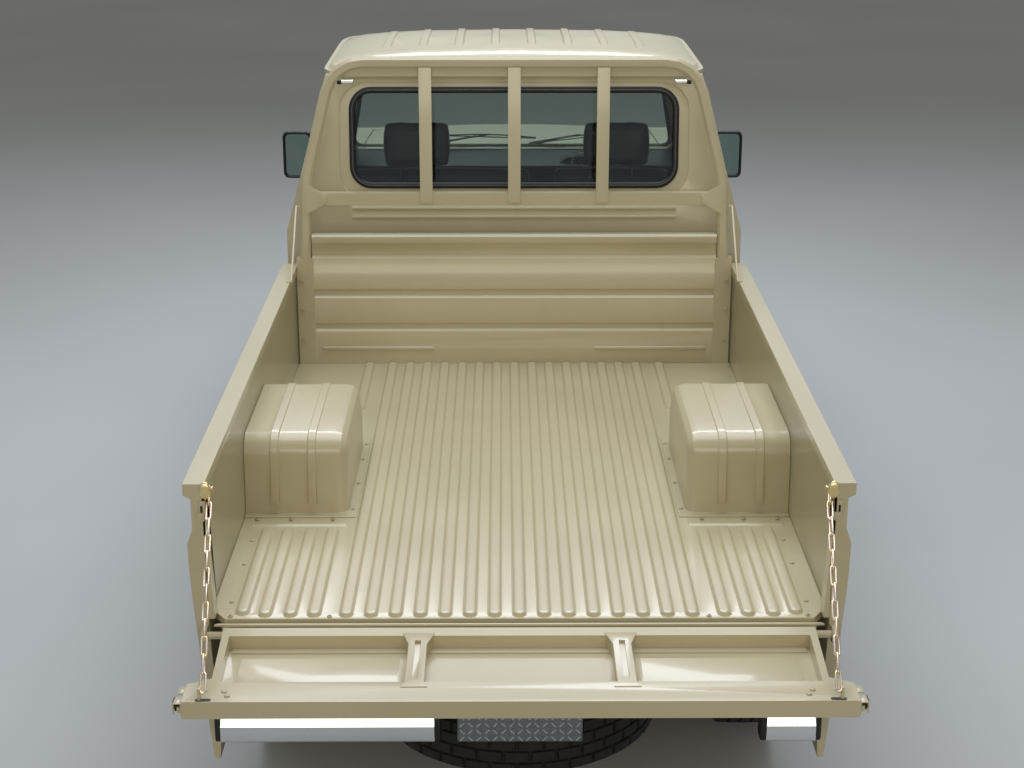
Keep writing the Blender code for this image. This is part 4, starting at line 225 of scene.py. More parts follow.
def add_object(bm, name, finish, angle=35):
    """Turns a bmesh into a smooth object, with edges sharper than the angle left crisp."""
    bmesh.ops.recalc_face_normals(bm, faces=bm.faces)
    mesh = bpy.data.meshes.new(name)
    bm.to_mesh(mesh)
    bm.free()
    piece = bpy.data.objects.new(name, mesh)
    bpy.context.scene.collection.objects.link(piece)
    for polygon in mesh.polygons:
        polygon.use_smooth = True
    mesh.set_sharp_from_angle(angle=math.radians(angle))
    mesh.materials.append(finish)
    return piece


def fit(bm, name, finish, body="truck", stands_for=(), angle=35):
    """Turns a bmesh into a piece that rides on a body and may stand for CAD nodes."""
    piece = add_object(bm, name, finish, angle)
    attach(piece, body)
    if stands_for:
        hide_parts(*stands_for)
    return piece


def fit_form(name, finish, add, *shape, body="truck", stands_for=(), angle=35):
    """A piece of one form, which the function named by add makes."""
    bm = bmesh.new()
    add(bm, *shape)
    return fit(bm, name, finish, body, stands_for, angle)


def skin(bm, rings, closed=False):
    """Quads between rings of equal length; closed joins the last ring to the first, else both get caps."""
    rings = [[bm.verts.new(point) for point in ring] for ring in rings]
    count = len(rings[0])
    for here, there in zip(rings, rings[1:] + rings[:1] if closed else rings[1:]):
        for i in range(count):
            j = (i + 1) % count
            bm.faces.new((here[i], here[j], there[j], there[i]))
    if not closed:
        bm.faces.new(rings[0][::-1])
        bm.faces.new(rings[-1])


def add_tube(bm, path, radius, sides=10, closed=False):
    """A round bar along a path; radius is one number or one for each point."""
    path = [Vector(point) for point in path]
    count = len(path)
    radii = radius if isinstance(radius, (list, tuple)) else [radius] * count
    rings = []
    up = None
    for i, point in enumerate(path):
        before = path[(i - 1) % count] if closed or i else point
        after = path[(i + 1) % count] if closed or i < count - 1 else point
        tangent = (after - before).normalized()
        if up is None:
            guess = Z if abs(tangent.z) < 0.9 else X
            up = tangent.cross(guess).normalized()
        up = (up - tangent * up.dot(tangent)).normalized()
        across = tangent.cross(up)
        ring = []
        for k in range(sides):
            turn = 2 * math.pi * k / sides
            ring.append(point + (up * math.cos(turn) + across * math.sin(turn)) * radii[i])
        rings.append(ring)
    skin(bm, rings, closed)


def add_band(bm, loop, normal, section):
    """A strip round a closed flat loop; its section is (outwards in the plane, along the normal)."""
    loop = [Vector(point) for point in loop]
    normal = Vector(normal).normalized()
    middle = sum(loop, Vector()) / len(loop)
    rings = []
    for i, point in enumerate(loop):
        tangent = (loop[(i + 1) % len(loop)] - loop[i - 1]).normalized()
        out = tangent.cross(normal).normalized()
        out = out if out.dot(point - middle) > 0 else -out
        rings.append([point + out * u + normal * v for u, v in section])
    skin(bm, rings, closed=True)


def add_block(bm, low, high, ease=0.0, segments=2, place=None):
    """A block with eased edges, at its corners or moved by a matrix."""
    low, high = Vector(low), Vector(high)
    low, high = Vector(map(min, low, high)), Vector(map(max, low, high))
    made = bmesh.ops.create_cube(bm, size=1.0)["verts"]
    for vert in made:
        vert.co = Vector((low[k] + (high[k] - low[k]) * (vert.co[k] + 0.5) for k in range(3)))
    if ease:
        edges = list({edge for vert in made for edge in vert.link_edges})
        result = bmesh.ops.bevel(bm, geom=edges, offset=ease, segments=segments, affect="EDGES", profile=0.5)
        eased = {vert for face in result["faces"] for vert in face.verts}
        made = list(eased | {vert for vert in made if vert.is_valid})
    if place is not None:
        bmesh.ops.transform(bm, matrix=place, verts=made)


def add_slab(bm, outline, axis, start, end, ease=0.0):
    """A plate from start to end along an axis, with a 2-D outline across it and eased rims."""
    points = [Vector((*pair[:axis], 0, *pair[axis:])) for pair in outline]
    middle = sum(points, Vector()) / len(points)
    step = math.copysign(ease, end - start)
    rows = ((start, ease), (start + step, 0), (end - step, 0), (end, ease))
    if not ease:
        rows = ((start, 0), (end, 0))
    skin(bm, [[point + (middle - point).normalized() * inset + (X, Y, Z)[axis] * place for point in points]
              for place, inset in rows])


def facing(axis):
    """The turn that brings the z axis onto another one."""
    return Z.rotation_difference(Vector(axis)).to_matrix()


def around(centre, turn, angle, radius, along):
    """A point of a turned shape, at an angle, a radius and a place along its axis."""
    return Vector(centre) + turn @ Vector((radius * math.cos(angle), radius * math.sin(angle), along))


def add_turned(bm, profile, centre, axis, steps=32):
    """A closed profile of (radius, place along the axis) turned about the axis."""
    turn = facing(axis)
    thinnest = 0.00002
    skin(bm, [[around(centre, turn, 2 * math.pi * step / steps, max(radius, thinnest), along)
               for radius, along in profile] for step in range(steps)], closed=True)


def add_dome(bm, centre, axis, radius, height, steps=14):
    """A low pan head or lamp glass."""
    shares = ((0, -0.3), (1, -0.3), (1, 0.2), (0.85, 0.7), (0.5, 0.95), (0, 1))
    add_turned(bm, [(radius * out, height * up) for out, up in shares], centre, axis, steps)


def add_hex(bm, centre, axis, across, height):
    """A hexagon head on a round washer face."""
    washer = ((0, 0), (0.68, 0), (0.68, 0.15), (0, 0.15))
    head = ((0, 0.1), (0.577, 0.1), (0.577, 0.85), (0.5, 1), (0, 1))
    for shares, steps in ((washer, 18), (head, 6)):
        add_turned(bm, [(across * out, height * up) for out, up in shares], centre, axis, steps)


def corner_rect(low, high, radius, steps=5):
    """A rectangle in 2-D with round corners."""
    points = []
    centres = ((high[0] - radius, high[1] - radius, 0), (low[0] + radius, high[1] - radius, 90),
               (low[0] + radius, low[1] + radius, 180), (high[0] - radius, low[1] + radius, 270))
    for u, v, start in centres:
        for i in range(steps + 1):
            angle = math.radians(start + 90 * i / steps)
            points.append((u + radius * math.cos(angle), v + radius * math.sin(angle)))
    return points


def softened(corners, radius, steps=5):
    """A polygon in 2-D with every corner rounded."""
    points = []
    corners = [Vector(corner) for corner in corners]
    for i, corner in enumerate(corners):
        before, after = (corners[i - 1] - corner), (corners[(i + 1) % len(corners)] - corner)
        a, b = before.normalized(), after.normalized()
        half = a.angle(b) / 2
        reach = min(radius / math.tan(half), before.length * 0.45, after.length * 0.45)
        start, end = corner + a * reach, corner + b * reach
        for k in range(steps + 1):
            t = k / steps
            points.append((1 - t) ** 2 * start + 2 * t * (1 - t) * corner + t * t * end)
    return points


def body_of_node(node):
    """The CAD body that carries a node."""
    return next(body for body, names in frame["record"]["behaviour"]["bodies"].items() if node in names)


# Pressed sheet: the solids again with their edges rolled over


def pressed(node, width, finish, segments):
    """The solid of a node with its edges rounded, in the node's place."""
    crease = 28
    source = frame["nodes"][node]
    bm = bmesh.new()
    bm.from_mesh(source.data)
    bmesh.ops.remove_doubles(bm, verts=bm.verts, dist=0.00002)
    bmesh.ops.dissolve_limit(bm, angle_limit=math.radians(0.8), verts=bm.verts, edges=bm.edges)
    if node == "front_bumper":
        # room inside the bar's box for its rubber strip and bolts
        for vert in bm.verts:
            if vert.co.y > NOSE - 0.02:
                vert.co.y -= 0.006
    if node.startswith("bed_side"):
        # the plain chain pin goes back into the wall, and the plated one takes its place
        for vert in bm.verts:
            if abs(vert.co.x) < 0.797 and vert.co.z > 1.13 and vert.co.y < BED_REAR + 0.08:
                vert.co.x = math.copysign(0.807, vert.co.x)
    mesh = bpy.data.meshes.new(node + "_pressed")
    bm.to_mesh(mesh)
    bm.free()
    piece = bpy.data.objects.new(node + "_pressed", mesh)
    bpy.context.scene.collection.objects.link(piece)
    bevel = piece.modifiers.new("Rolled edges", "BEVEL")
    bevel.width = width
    bevel.segments = segments
    bevel.limit_method = "ANGLE"
    bevel.angle_limit = math.radians(crease)
    for polygon in mesh.polygons:
        polygon.use_smooth = True
    mesh.set_sharp_from_angle(angle=math.radians(crease + 10))
    mesh.materials.append(finish)
    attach(piece, body_of_node(node))
    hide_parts(node)
    return piece


EDGES = {"bed_floor": 0.0025, "tailgate": 0.002, "headboard": 0.004, "guard_frame": 0.006,
         "front_bumper": 0.012, "rear_step": 0.004}
MADE_NEW = ("tyre_", "rim_", "spare_wheel", "chain_", "mirror_", "driver_seat", "passenger_seat",
            "headlamp_", "tail_lamp_", "rear_bumper_")
PRESSED_KINDS = ("paint", "chrome", "black_plastic")
for node_name, node in sorted(frame["nodes"].items()):
    kind = node.data.materials[0].name.split(".")[0]
    finish = step_steel if node_name == "rear_step" else FINISHES[kind]
    if kind in PRESSED_KINDS and not node_name.startswith(MADE_NEW):
        pressed(node_name, EDGES.get(node_name, 0.003), finish, 6 if "bumper" in node_name else 2)
    else:
        node.data.materials[0] = finish


# Wheels


def tyre_profile():
    """Places across the tyre as (place along the axle, radius, tread row or None)."""
    wall = [(-0.085, 0.1965), (-0.088, 0.2135), (-0.096, 0.232), (-0.1010, 0.262), (-0.1022, 0.288),
            (-0.1012, 0.302), (-0.1022, 0.306), (-0.1008, 0.311), (-0.0985, 0.345), (-0.096, 0.366),
            (-0.0925, 0.378), (-0.0885, 0.3895)]
    rows = [(u, r, None) for u, r in wall]
    draft = 0.0012
    for i, (start, end) in enumerate(TREAD_ROWS):
        crown = [TREAD_CROWN - 0.35 * u * u for u in (start, end)]
        rows += [(start - draft, crown[0] - TREAD_DEPTH, None), (start, crown[0], i),
                 ((start + end) / 2, sum(crown) / 2 + 0.0002, i), (end, crown[1], i),
                 (end + draft, crown[1] - TREAD_DEPTH, None)]
    return rows + [(-u, r, None) for u, r in reversed(wall)]


def add_tyre(bm, centre, axis):
    """A tyre with five rows of blocks, staggered from row to row."""
    pitches, cuts = 34, (0.0, 0.03, 0.13, 0.16, 0.5, 0.53, 0.63, 0.66)
    notches = ((0.03, 0.13), (0.53, 0.63))
    turn = facing(axis)
    profile = tyre_profile()
    rings = []
    for pitch in range(pitches):
        for place in cuts:
            ring = []
            for u, r, row in profile:
                if row is not None and notches[row % 2][0] <= place <= notches[row % 2][1]:
                    r -= TREAD_DEPTH
                ring.append(around(centre, turn, 2 * math.pi * (pitch + place) / pitches, r, u))
            rings.append(ring)
    skin(bm, rings, closed=True)


def add_rim(bm, centre, axis):
    """A pressed steel wheel: well barrel with rolled flanges, and a domed disc with ten windows."""
    barrel = [(0.186, 0.086), (0.1965, 0.0865), (0.2065, 0.089), (0.2105, 0.0925), (0.2095, 0.0955),
              (0.2045, 0.0925), (0.192, 0.090), (0.184, 0.088), (0.182, 0.075), (0.174, 0.060), (0.166, 0.02),
              (0.166, -0.03), (0.180, -0.05), (0.184, -0.088), (0.2045, -0.0925), (0.2095, -0.0955),
              (0.2105, -0.0925), (0.1965, -0.0865), (0.186, -0.052), (0.170, -0.032), (0.170, 0.02),
              (0.178, 0.058), (0.186, 0.075)]
    add_turned(bm, barrel, centre, axis, 72)
    turn = facing(axis)
    rows = [(0.0495, 0.040), (0.056, 0.046), (0.085, 0.046), (0.092, 0.050), (0.104, 0.057), (0.116, 0.058),
            (0.120, 0.0575), (0.150, 0.047), (0.154, 0.044), (0.160, 0.034), (0.1665, 0.030)]
    inner, outer, last = 6, 7, len(rows) - 1
    open_steps, gauge, round_off = (3, 4), 0.004, 0.004
    count = DISC_WINDOWS * DISC_STEPS
    front, back = [], []
    for k in range(count):
        step = k % DISC_STEPS
        angle = 2 * math.pi * (k + {3: 0.16, 5: -0.16}.get(step, 0)) / count
        ring = []
        for i, (r, a) in enumerate(rows):
            if step in (3, 5):
                r += {inner: round_off, outer: -round_off}.get(i, 0)
            ring.append(around(centre, turn, angle, r, a))
        front.append([bm.verts.new(point) for point in ring])
        back.append([bm.verts.new(point - turn @ (Z * gauge)) for point in ring])
    for k in range(count):
        there = (k + 1) % count
        window = k % DISC_STEPS in open_steps
        for i in range(last):
            if window and i == inner:
                continue
            bm.faces.new((front[k][i], front[there][i], front[there][i + 1], front[k][i + 1]))
            bm.faces.new((back[k][i + 1], back[there][i + 1], back[there][i], back[k][i]))
        bm.faces.new((front[k][0], back[k][0], back[there][0], front[there][0]))
        bm.faces.new((front[there][last], back[there][last], back[k][last], front[k][last]))
        if window:
            bm.faces.new((front[k][inner], front[there][inner], back[there][inner], back[k][inner]))
            bm.faces.new((front[there][outer], front[k][outer], back[k][outer], back[there][outer]))
            if k % DISC_STEPS == open_steps[0]:
                bm.faces.new((front[k][outer], front[k][inner], back[k][inner], back[k][outer]))
            else:
                bm.faces.new((front[there][inner], front[there][outer],
                              back[there][outer], back[there][inner]))


def add_nuts(bm, centre, axis):
    """Six wheel nuts on their bolt circle."""
    turn, count, circle, seat = facing(axis), 6, 0.0705, 0.046
    for k in range(count):
        add_hex(bm, around(centre, turn, 2 * math.pi * (k + 0.5) / count, circle, seat), axis, 0.021, 0.016)


def build_wheels():
    """The four road wheels: tyre, disc, nuts, hub cap and valve."""
    for end, y, x in (("front", FRONT_AXLE, 0.73), ("rear", REAR_AXLE, 0.715)):
        for side, word in SIDES:
            tag = f"{end}_{word}"
            centre, axis = Vector((side * x, y, AXLE_Z)), X * side
            wheel = f"wheel_{tag}"
            fit_form(f"tyre_{tag}_tread", tyre_rubber, add_tyre, centre, axis, body=wheel,
                     stands_for=(f"tyre_{tag}",))
            fit_form(f"wheel_disc_{tag}", wheel_enamel, add_rim, centre, axis, body=wheel,
                     stands_for=(f"rim_{tag}",), angle=30)
            fit_form(f"wheel_nuts_{tag}", screw_zinc, add_nuts, centre, axis, body=wheel, angle=30)
            cap = [(0, 0.044), (0.050, 0.044), (0.0485, 0.050), (0.046, 0.060), (0.036, 0.072),
                   (0.020, 0.077), (0, 0.078)]
            fit_form(f"hub_cap_{tag}", bright_chrome, add_turned, cap, centre, axis, 36, body=wheel)
            stem = [centre + Vector((side * out, up, 0)) for out, up in ((0.088, 0.168), (0.100, 0.160),
                                                                         (0.108, 0.150))]
            fit_form(f"tyre_valve_{tag}", window_rubber, add_tube, stem, [0.0045, 0.004, 0.0035], 8,
                     body=wheel)


def build_spare():
    """The spare wheel, flat under the bed on its carrier plate."""
    x, y, z = centre = (0, BED_REAR + 0.45, 0.4055)
    top, plate = 0.5078, z - 0.042
    fit_form("spare_tyre", tyre_rubber, add_tyre, centre, -Z, stands_for=("spare_wheel",))
    fit_form("spare_disc", wheel_enamel, add_rim, centre, -Z, angle=30)
    bm = bmesh.new()
    add_block(bm, (-0.065, y - 0.05, plate), (0.065, y + 0.05, plate + 0.006), 0.002)
    add_tube(bm, [(x, y, plate - 0.008), (x, y, top)], 0.009, 12)
    add_block(bm, (-0.03, y - 0.03, top - 0.008), (0.03, y + 0.03, top), 0.002)
    add_hex(bm, (x, y, plate), -Z, 0.03, 0.016)
    fit(bm, "spare_carrier", chassis_enamel)


# Tailgate chains, hooks and latches


def add_link(bm, centre, along, normal, length):
    """One oval link of round wire."""
    radius = LINK_WIDTH / 2 - LINK_WIRE
    straight = length / 2 - LINK_WIRE - radius
    across = along.cross(normal)
    path = []
    for end in (1, -1):
        for i in range(9):
            angle = math.pi * (i / 8 - 0.5)
            reach = end * (straight + radius * math.cos(angle))
            path.append(centre + along * reach + across * (end * radius * math.sin(angle)))
    add_tube(bm, path, LINK_WIRE, 10, closed=True)


def build_chains():
    """Two chains of twelve links in two halves each, with the plates and pins that hold them."""
    links, hook = 12, 0.0095
    hold = 4 * LINK_WIRE - 0.0008
    twist = (0.15, -0.2, 0.45, -0.1, 0.1, -0.25, 0.3, -0.15, 0.1, 0.2, -0.1, 0.05)
    circle = [2 * math.pi * k / 28 for k in range(28)]
    for side, tag in SIDES:
        top = Vector((side * CHAIN_X, BED_REAR + 0.045, FLOOR + 0.345))
        foot = Vector((side * HOOK_X, GATE_PIN[0] - 0.39, GATE_FACE + 0.022))
        span = foot - top
        along = span.normalized()
        pitch = (span.length + 2 * hook - hold) / links
        flat = (X - along * along.x).normalized()
        edge = along.cross(flat)
        for half, start in (("upper", 0), ("lower", links // 2)):
            bm = bmesh.new()
            for i in range(start, start + links // 2):
                turn = twist[i] + (math.pi / 2 if i % 2 == 0 else 0)
                normal = flat * math.sin(turn) + edge * math.cos(turn)
                middle = top + along * (pitch * i + (pitch + hold) / 2 - hook)
                add_link(bm, middle, along, normal.normalized(), pitch + hold)
            name = f"chain_{half}_{tag}"
            fit(bm, f"{name}_links", yellow_zinc, name, (name,), 60)
        # oval plate on the pillar's rear face, domed
        centre = Vector((side * 0.7985, BED_REAR + 0.0005, FLOOR + 0.357))
        rows = ((1.0, -0.002), (1.0, 0.001), (0.9, 0.0032), (0.65, 0.0048), (0.35, 0.0056), (0.1, 0.0058))
        plate = [[centre + Vector((-math.cos(a) * 0.0155 * share, -rise, math.sin(a) * 0.0235 * share))
                  for a in circle] for share, rise in rows]
        fit_form(f"chain_hook_plate_{tag}", deep_zinc, skin, plate, angle=60)
        bm = bmesh.new()
        end = top - X * (side * 0.0065)
        add_tube(bm, [top + X * (side * 0.013), top - X * (side * 0.006), end], [0.0035, 0.0035, 0.005], 14)
        head = [(0, 0), (0.0065, 0), (0.0065, 0.002), (0.005, 0.003), (0, 0.0035)]
        add_turned(bm, head, end, X * -side, 18)
        fit(bm, f"chain_pin_head_{tag}", yellow_zinc)


def build_latches():
    """Brackets and bolts on the gate's ends, strikers on the pillars, and black painted shade in the
    strikers' slots and the chains' mouths.
    """
    ease = 0.0008
    for side, tag in SIDES:
        x0, y0, y1, top = side * LATCH_X, GATE_FAR + 0.004, GATE_FAR + 0.105, 0.7995
        bm = bmesh.new()
        bracket = softened([(y0, top), (y0 + 0.052, top), (y1, 0.790), (y1, 0.779), (y0 + 0.04, 0.764),
                            (y0, 0.764)], 0.004, 3)
        add_slab(bm, bracket, ALONG_X, x0, x0 + side * 0.0035, ease)
        add_block(bm, (x0, y0 + 0.05, 0.7965), (x0 + side * 0.017, y0 + 0.085, top), ease)
        add_block(bm, (x0, y0 - 0.001, 0.7965), (x0 + side * 0.022, y0 + 0.034, top), ease)
        add_block(bm, (x0 + side * 0.0185, y0 + 0.002, 0.768), (x0 + side * 0.022, y0 + 0.034, top), ease)
        fit(bm, f"latch_bracket_{tag}", sand_enamel, "tailgate")
        bolt = corner_rect((y0 + 0.010, 0.773), (y0 + 0.028, 0.788), 0.003, 3)
        fit_form(f"latch_bolt_{tag}", window_rubber, add_slab, bolt, ALONG_X, x0 + side * 0.0036,
                 x0 + side * 0.0175, 0.001, body="tailgate")
        bm = bmesh.new()
        x, y, z = side * 0.811, BED_REAR, FLOOR + 0.300
        add_block(bm, (x - 0.011, y - 0.0085, z - 0.024), (x + 0.009, y + 0.001, z - 0.002), 0.002)
        add_block(bm, (x - 0.004, y - 0.0055, z - 0.006), (x + 0.012, y + 0.001, z + 0.030), 0.0015)
        fit(bm, f"latch_striker_{tag}", sand_enamel)
        # a black strip on the striker's face: painted shade in its slot
        fit_form(f"latch_slot_painted_shade_{tag}", window_rubber, add_block, (x, y - 0.0066, z - 0.001),
                 (x + 0.006, y - 0.004, z + 0.018), 0.001)
        x = side * HOOK_X
        # a black patch on the gate's face at the chain's foot: painted shade in the chain's mouth
        mouth = corner_rect((x - 0.019, GATE_FAR + 0.003), (x + 0.019, GATE_FAR + 0.0165), 0.005)
        fit_form(f"chain_mouth_painted_shade_{tag}", window_rubber, add_slab, mouth, ALONG_Z, GATE_FACE - 0.004,
                 GATE_FACE + 0.0006, 0.0005, body="tailgate")


def build_floor_ribs():
    """Smooth skins over the floor's pressed ribs, with half-round ends."""
    section = ((0.0196, -0.002), (0.0196, 0.0004), (0.0180, 0.0018), (0.0150, 0.0068), (0.0132, 0.0090),
               (0.0105, 0.0099), (0.0050, 0.0102))
    foot, pitch, front = section[0][0], 0.0646, BED_REAR + 2.1795
    ribs = [(i * pitch, BED_REAR + 0.006, front) for i in range(-7, 8)]
    for side in (LEFT, RIGHT):
        for x, start in ((0.536, 0.008), (0.598, 0.008), (0.664, 0.008), (0.724, 0.019)):
            ribs.append((side * x, BED_REAR + start, BED_REAR + 0.598))
        ribs.append((side * 0.538, BED_REAR + 1.652, front))
    bm = bmesh.new()
    for x, start, end in ribs:
        arcs = [(start + foot, math.pi + math.pi * k / 10) for k in range(11)]
        arcs += [(end - foot, math.pi * k / 10) for k in range(11)]
        skin(bm, [[Vector((x + half * math.cos(turn), middle + half * math.sin(turn), FLOOR + rise))
                   for middle, turn in arcs] for half, rise in section])
    fit(bm, "floor_ribs", sand_enamel)


def build_bed_fixings():
    """Screws and bolts of the bed, black painted shade in the screws' slots, the gate's lip and the guard's
    studs.
    """
    flange_x = (0.766, 0.667, 0.544)
    heads = [(x, y, 0.0045, 0.0062, 0.004) for x in flange_x for y in (0.6625, 1.349)]
    heads += [(0.752, 0.012, 0.001, 0.0065, 0.0035), (0.494, 0.010, 0.001, 0.0065, 0.0035)]
    heads += [(0.761, y, 0.001, 0.006, 0.0035) for y in (0.100, 0.345, 0.51)]
    heads += [(0.489, y, 0.0045, 0.006, 0.0035) for y in (0.74, 0.95, 1.16, 1.30)]
    # black domes on the screws' heads: painted shade in their slots
    slots = [(x, 0.6615, 0.008, 0.003, 0.0012) for x in flange_x]
    slots += [(0.752, 0.0115, 0.004, 0.003, 0.0012), (0.494, 0.0095, 0.004, 0.003, 0.0012)]
    for name, finish, domes in (("floor_screws", painted_screw, heads),
                                ("screw_slot_painted_shade", window_rubber, slots)):
        bm = bmesh.new()
        for side in (LEFT, RIGHT):
            for x, y, z, radius, height in domes:
                add_dome(bm, (side * x, BED_REAR + y, FLOOR + z), Z, radius, height)
        fit(bm, name, finish)
    bm = bmesh.new()
    for x, y in ((-0.71, -2.667), (0.70, -2.664), (-0.70, -2.689), (0.688, -2.686)):
        add_dome(bm, (x, y, GATE_FACE + 0.0008), Z, 0.007, 0.0035)
    fit(bm, "tailgate_screws", painted_screw, "tailgate")
    near, far = GATE_PIN[0] + 0.012, GATE_PIN[0] + 0.0195
    lip = [(-0.79, near), (0.79, near), (0.782, far), (-0.782, far)]
    fit_form("tailgate_lip", sand_enamel, add_slab, lip, ALONG_Z, GATE_FACE - 0.006, GATE_FACE - 0.0006,
             body="tailgate")
    bolts, sleeves, caps = bmesh.new(), bmesh.new(), bmesh.new()
    for side in (LEFT, RIGHT):
        for z in (0.32, 0.21, 0.09):
            add_hex(bolts, (side * 0.783, -0.0935, FLOOR + z), -Y, 0.013, 0.006)
        ends = [(side * x, STUD_Y, STUD_Z) for x in (0.582, 0.624, 0.621, 0.637)]
        add_tube(sleeves, ends[:2], 0.0068, 18)
        add_dome(sleeves, ends[0], X * -side, 0.0085, 0.004, 18)
        add_tube(caps, ends[2:], 0.0085, 18)
    fit(bolts, "headboard_bolts", painted_screw)
    fit(sleeves, "guard_stud_sleeves", bright_chrome)
    fit(caps, "guard_stud_caps", window_rubber)


# Glass seals


def build_seals():
    """Rubber seals round the rear window, the windscreen and the door glasses, with their beads."""
    slope = math.atan(BACK_SLOPE)
    normal = Vector((0, -math.cos(slope), math.sin(slope)))
    loop = [Vector((x, CAB_BACK + 0.005 + BACK_SLOPE * (z - WAIST), z))
            for x, z in corner_rect((-0.599, 1.454), (0.599, 1.809), 0.075, 9)]
    lip = [(-0.0145, -0.006), (-0.0155, 0.0005), (-0.0115, 0.005), (-0.004, 0.0072), (0.0015, 0.0068),
           (0.0065, 0.0042), (0.008, 0.0008), (0.0075, -0.002), (0.001, -0.002), (0.0008, -0.006)]
    fit_form("rear_window_seal", window_rubber, add_band, loop, normal, lip)
    fit_form("rear_window_bead", dull_bead, add_band, loop, normal,
             [(-0.0052, 0.0066), (-0.0046, 0.0076), (-0.0036, 0.0078), (-0.0028, 0.0074), (-0.003, 0.0066)])
    tilt = Vector((0, 1, SCREEN_SLOPE)).normalized()
    half_low, half_high, low, high = CAB_HALF - 0.13, 0.615, WAIST + 0.05, DRIP - 0.045
    corners = [(-half_low, low), (half_low, low), (half_high, high), (-half_high, high)]
    loop = [Vector((x, screen_y(z) - 0.0005, z)) for x, z in softened(corners, 0.05, 7)]
    fit_form("windscreen_seal", window_rubber, add_band, loop, tilt, lip)
    fit_form("windscreen_bead", bright_steel, add_band, loop, tilt,
             [(-0.0062, 0.0068), (-0.005, 0.0088), (-0.0028, 0.0092), (-0.0012, 0.0084), (-0.0018, 0.0068)])
    section = [(-0.012, -0.010), (-0.0125, 0.001), (-0.008, 0.0035), (0.004, 0.0035), (0.0075, 0.0015),
               (0.006, -0.0015), (0.0004, -0.0015), (0.0004, -0.010)]
    rear, front, top, bottom = DOOR_REAR + 0.061, DOOR_FRONT - 0.061, DRIP - 0.076, 1.315
    foot = CAB_FRONT - 0.116
    bend = WAIST + (foot - front) / SCREEN_SLOPE
    corners = [(rear, bottom), (front, bottom), (front, bend), (foot - SCREEN_SLOPE * (top - WAIST), top),
               (rear + 0.009, top)]
    for side, tag in SIDES:
        loop = [Vector((side_x(side, z), y, z)) for y, z in softened(corners, 0.012, 4)]
        normal = Vector((side, 0, SIDE_SLOPE))
        fit_form(f"door_window_seal_{tag}", window_rubber, add_band, loop, normal, section,
                 body=f"door_{tag}")


# Doors, mirrors and trim


def build_mirrors():
    """Door mirrors: a hollow case on a bent foot, and its glass."""
    y = CAB_BACK + 1.05
    for side, tag in SIDES:
        inner, outer = sorted((side * 0.853, side * 0.977))
        bm = bmesh.new()
        rings = []
        for inset, depth in ((0.0125, 0.009), (0.009, 0.003), (0.0065, 0.0), (0.002, 0.0008), (0.0, 0.005),
                             (0.0, 0.022), (0.004, 0.040), (0.012, 0.052), (0.024, 0.0588), (0.034, 0.06)):
            rect = corner_rect((inner + inset, 1.27 + inset), (outer - inset, 1.47 - inset),
                               max(0.024 - inset / 2, 0.006))
            rings.append([Vector((x, y + depth, z)) for x, z in rect])
        skin(bm, rings)
        foot = ((0.846, 0.03, 1.235), (0.862, 0.03, 1.240), (0.875, 0.031, 1.262), (0.882, 0.031, 1.30))
        add_tube(bm, [(side * x, y + ahead, z) for x, ahead, z in foot], [0.021, 0.015, 0.012, 0.012], 14)
        add_block(bm, (side * 0.8452, y + 0.004, 1.212), (side * 0.853, y + 0.056, 1.262), 0.003)
        fit(bm, f"mirror_case_{tag}", moulded_black, f"door_{tag}", (f"mirror_{tag}",), 50)
        glass = corner_rect((inner + 0.0115, 1.2815), (outer - 0.0115, 1.4585), 0.018)
        fit_form(f"mirror_glass_{tag}", mirror_glass, add_slab, glass, ALONG_Y, y + 0.0115, y + 0.0075,
                 0.0006, body=f"door_{tag}")


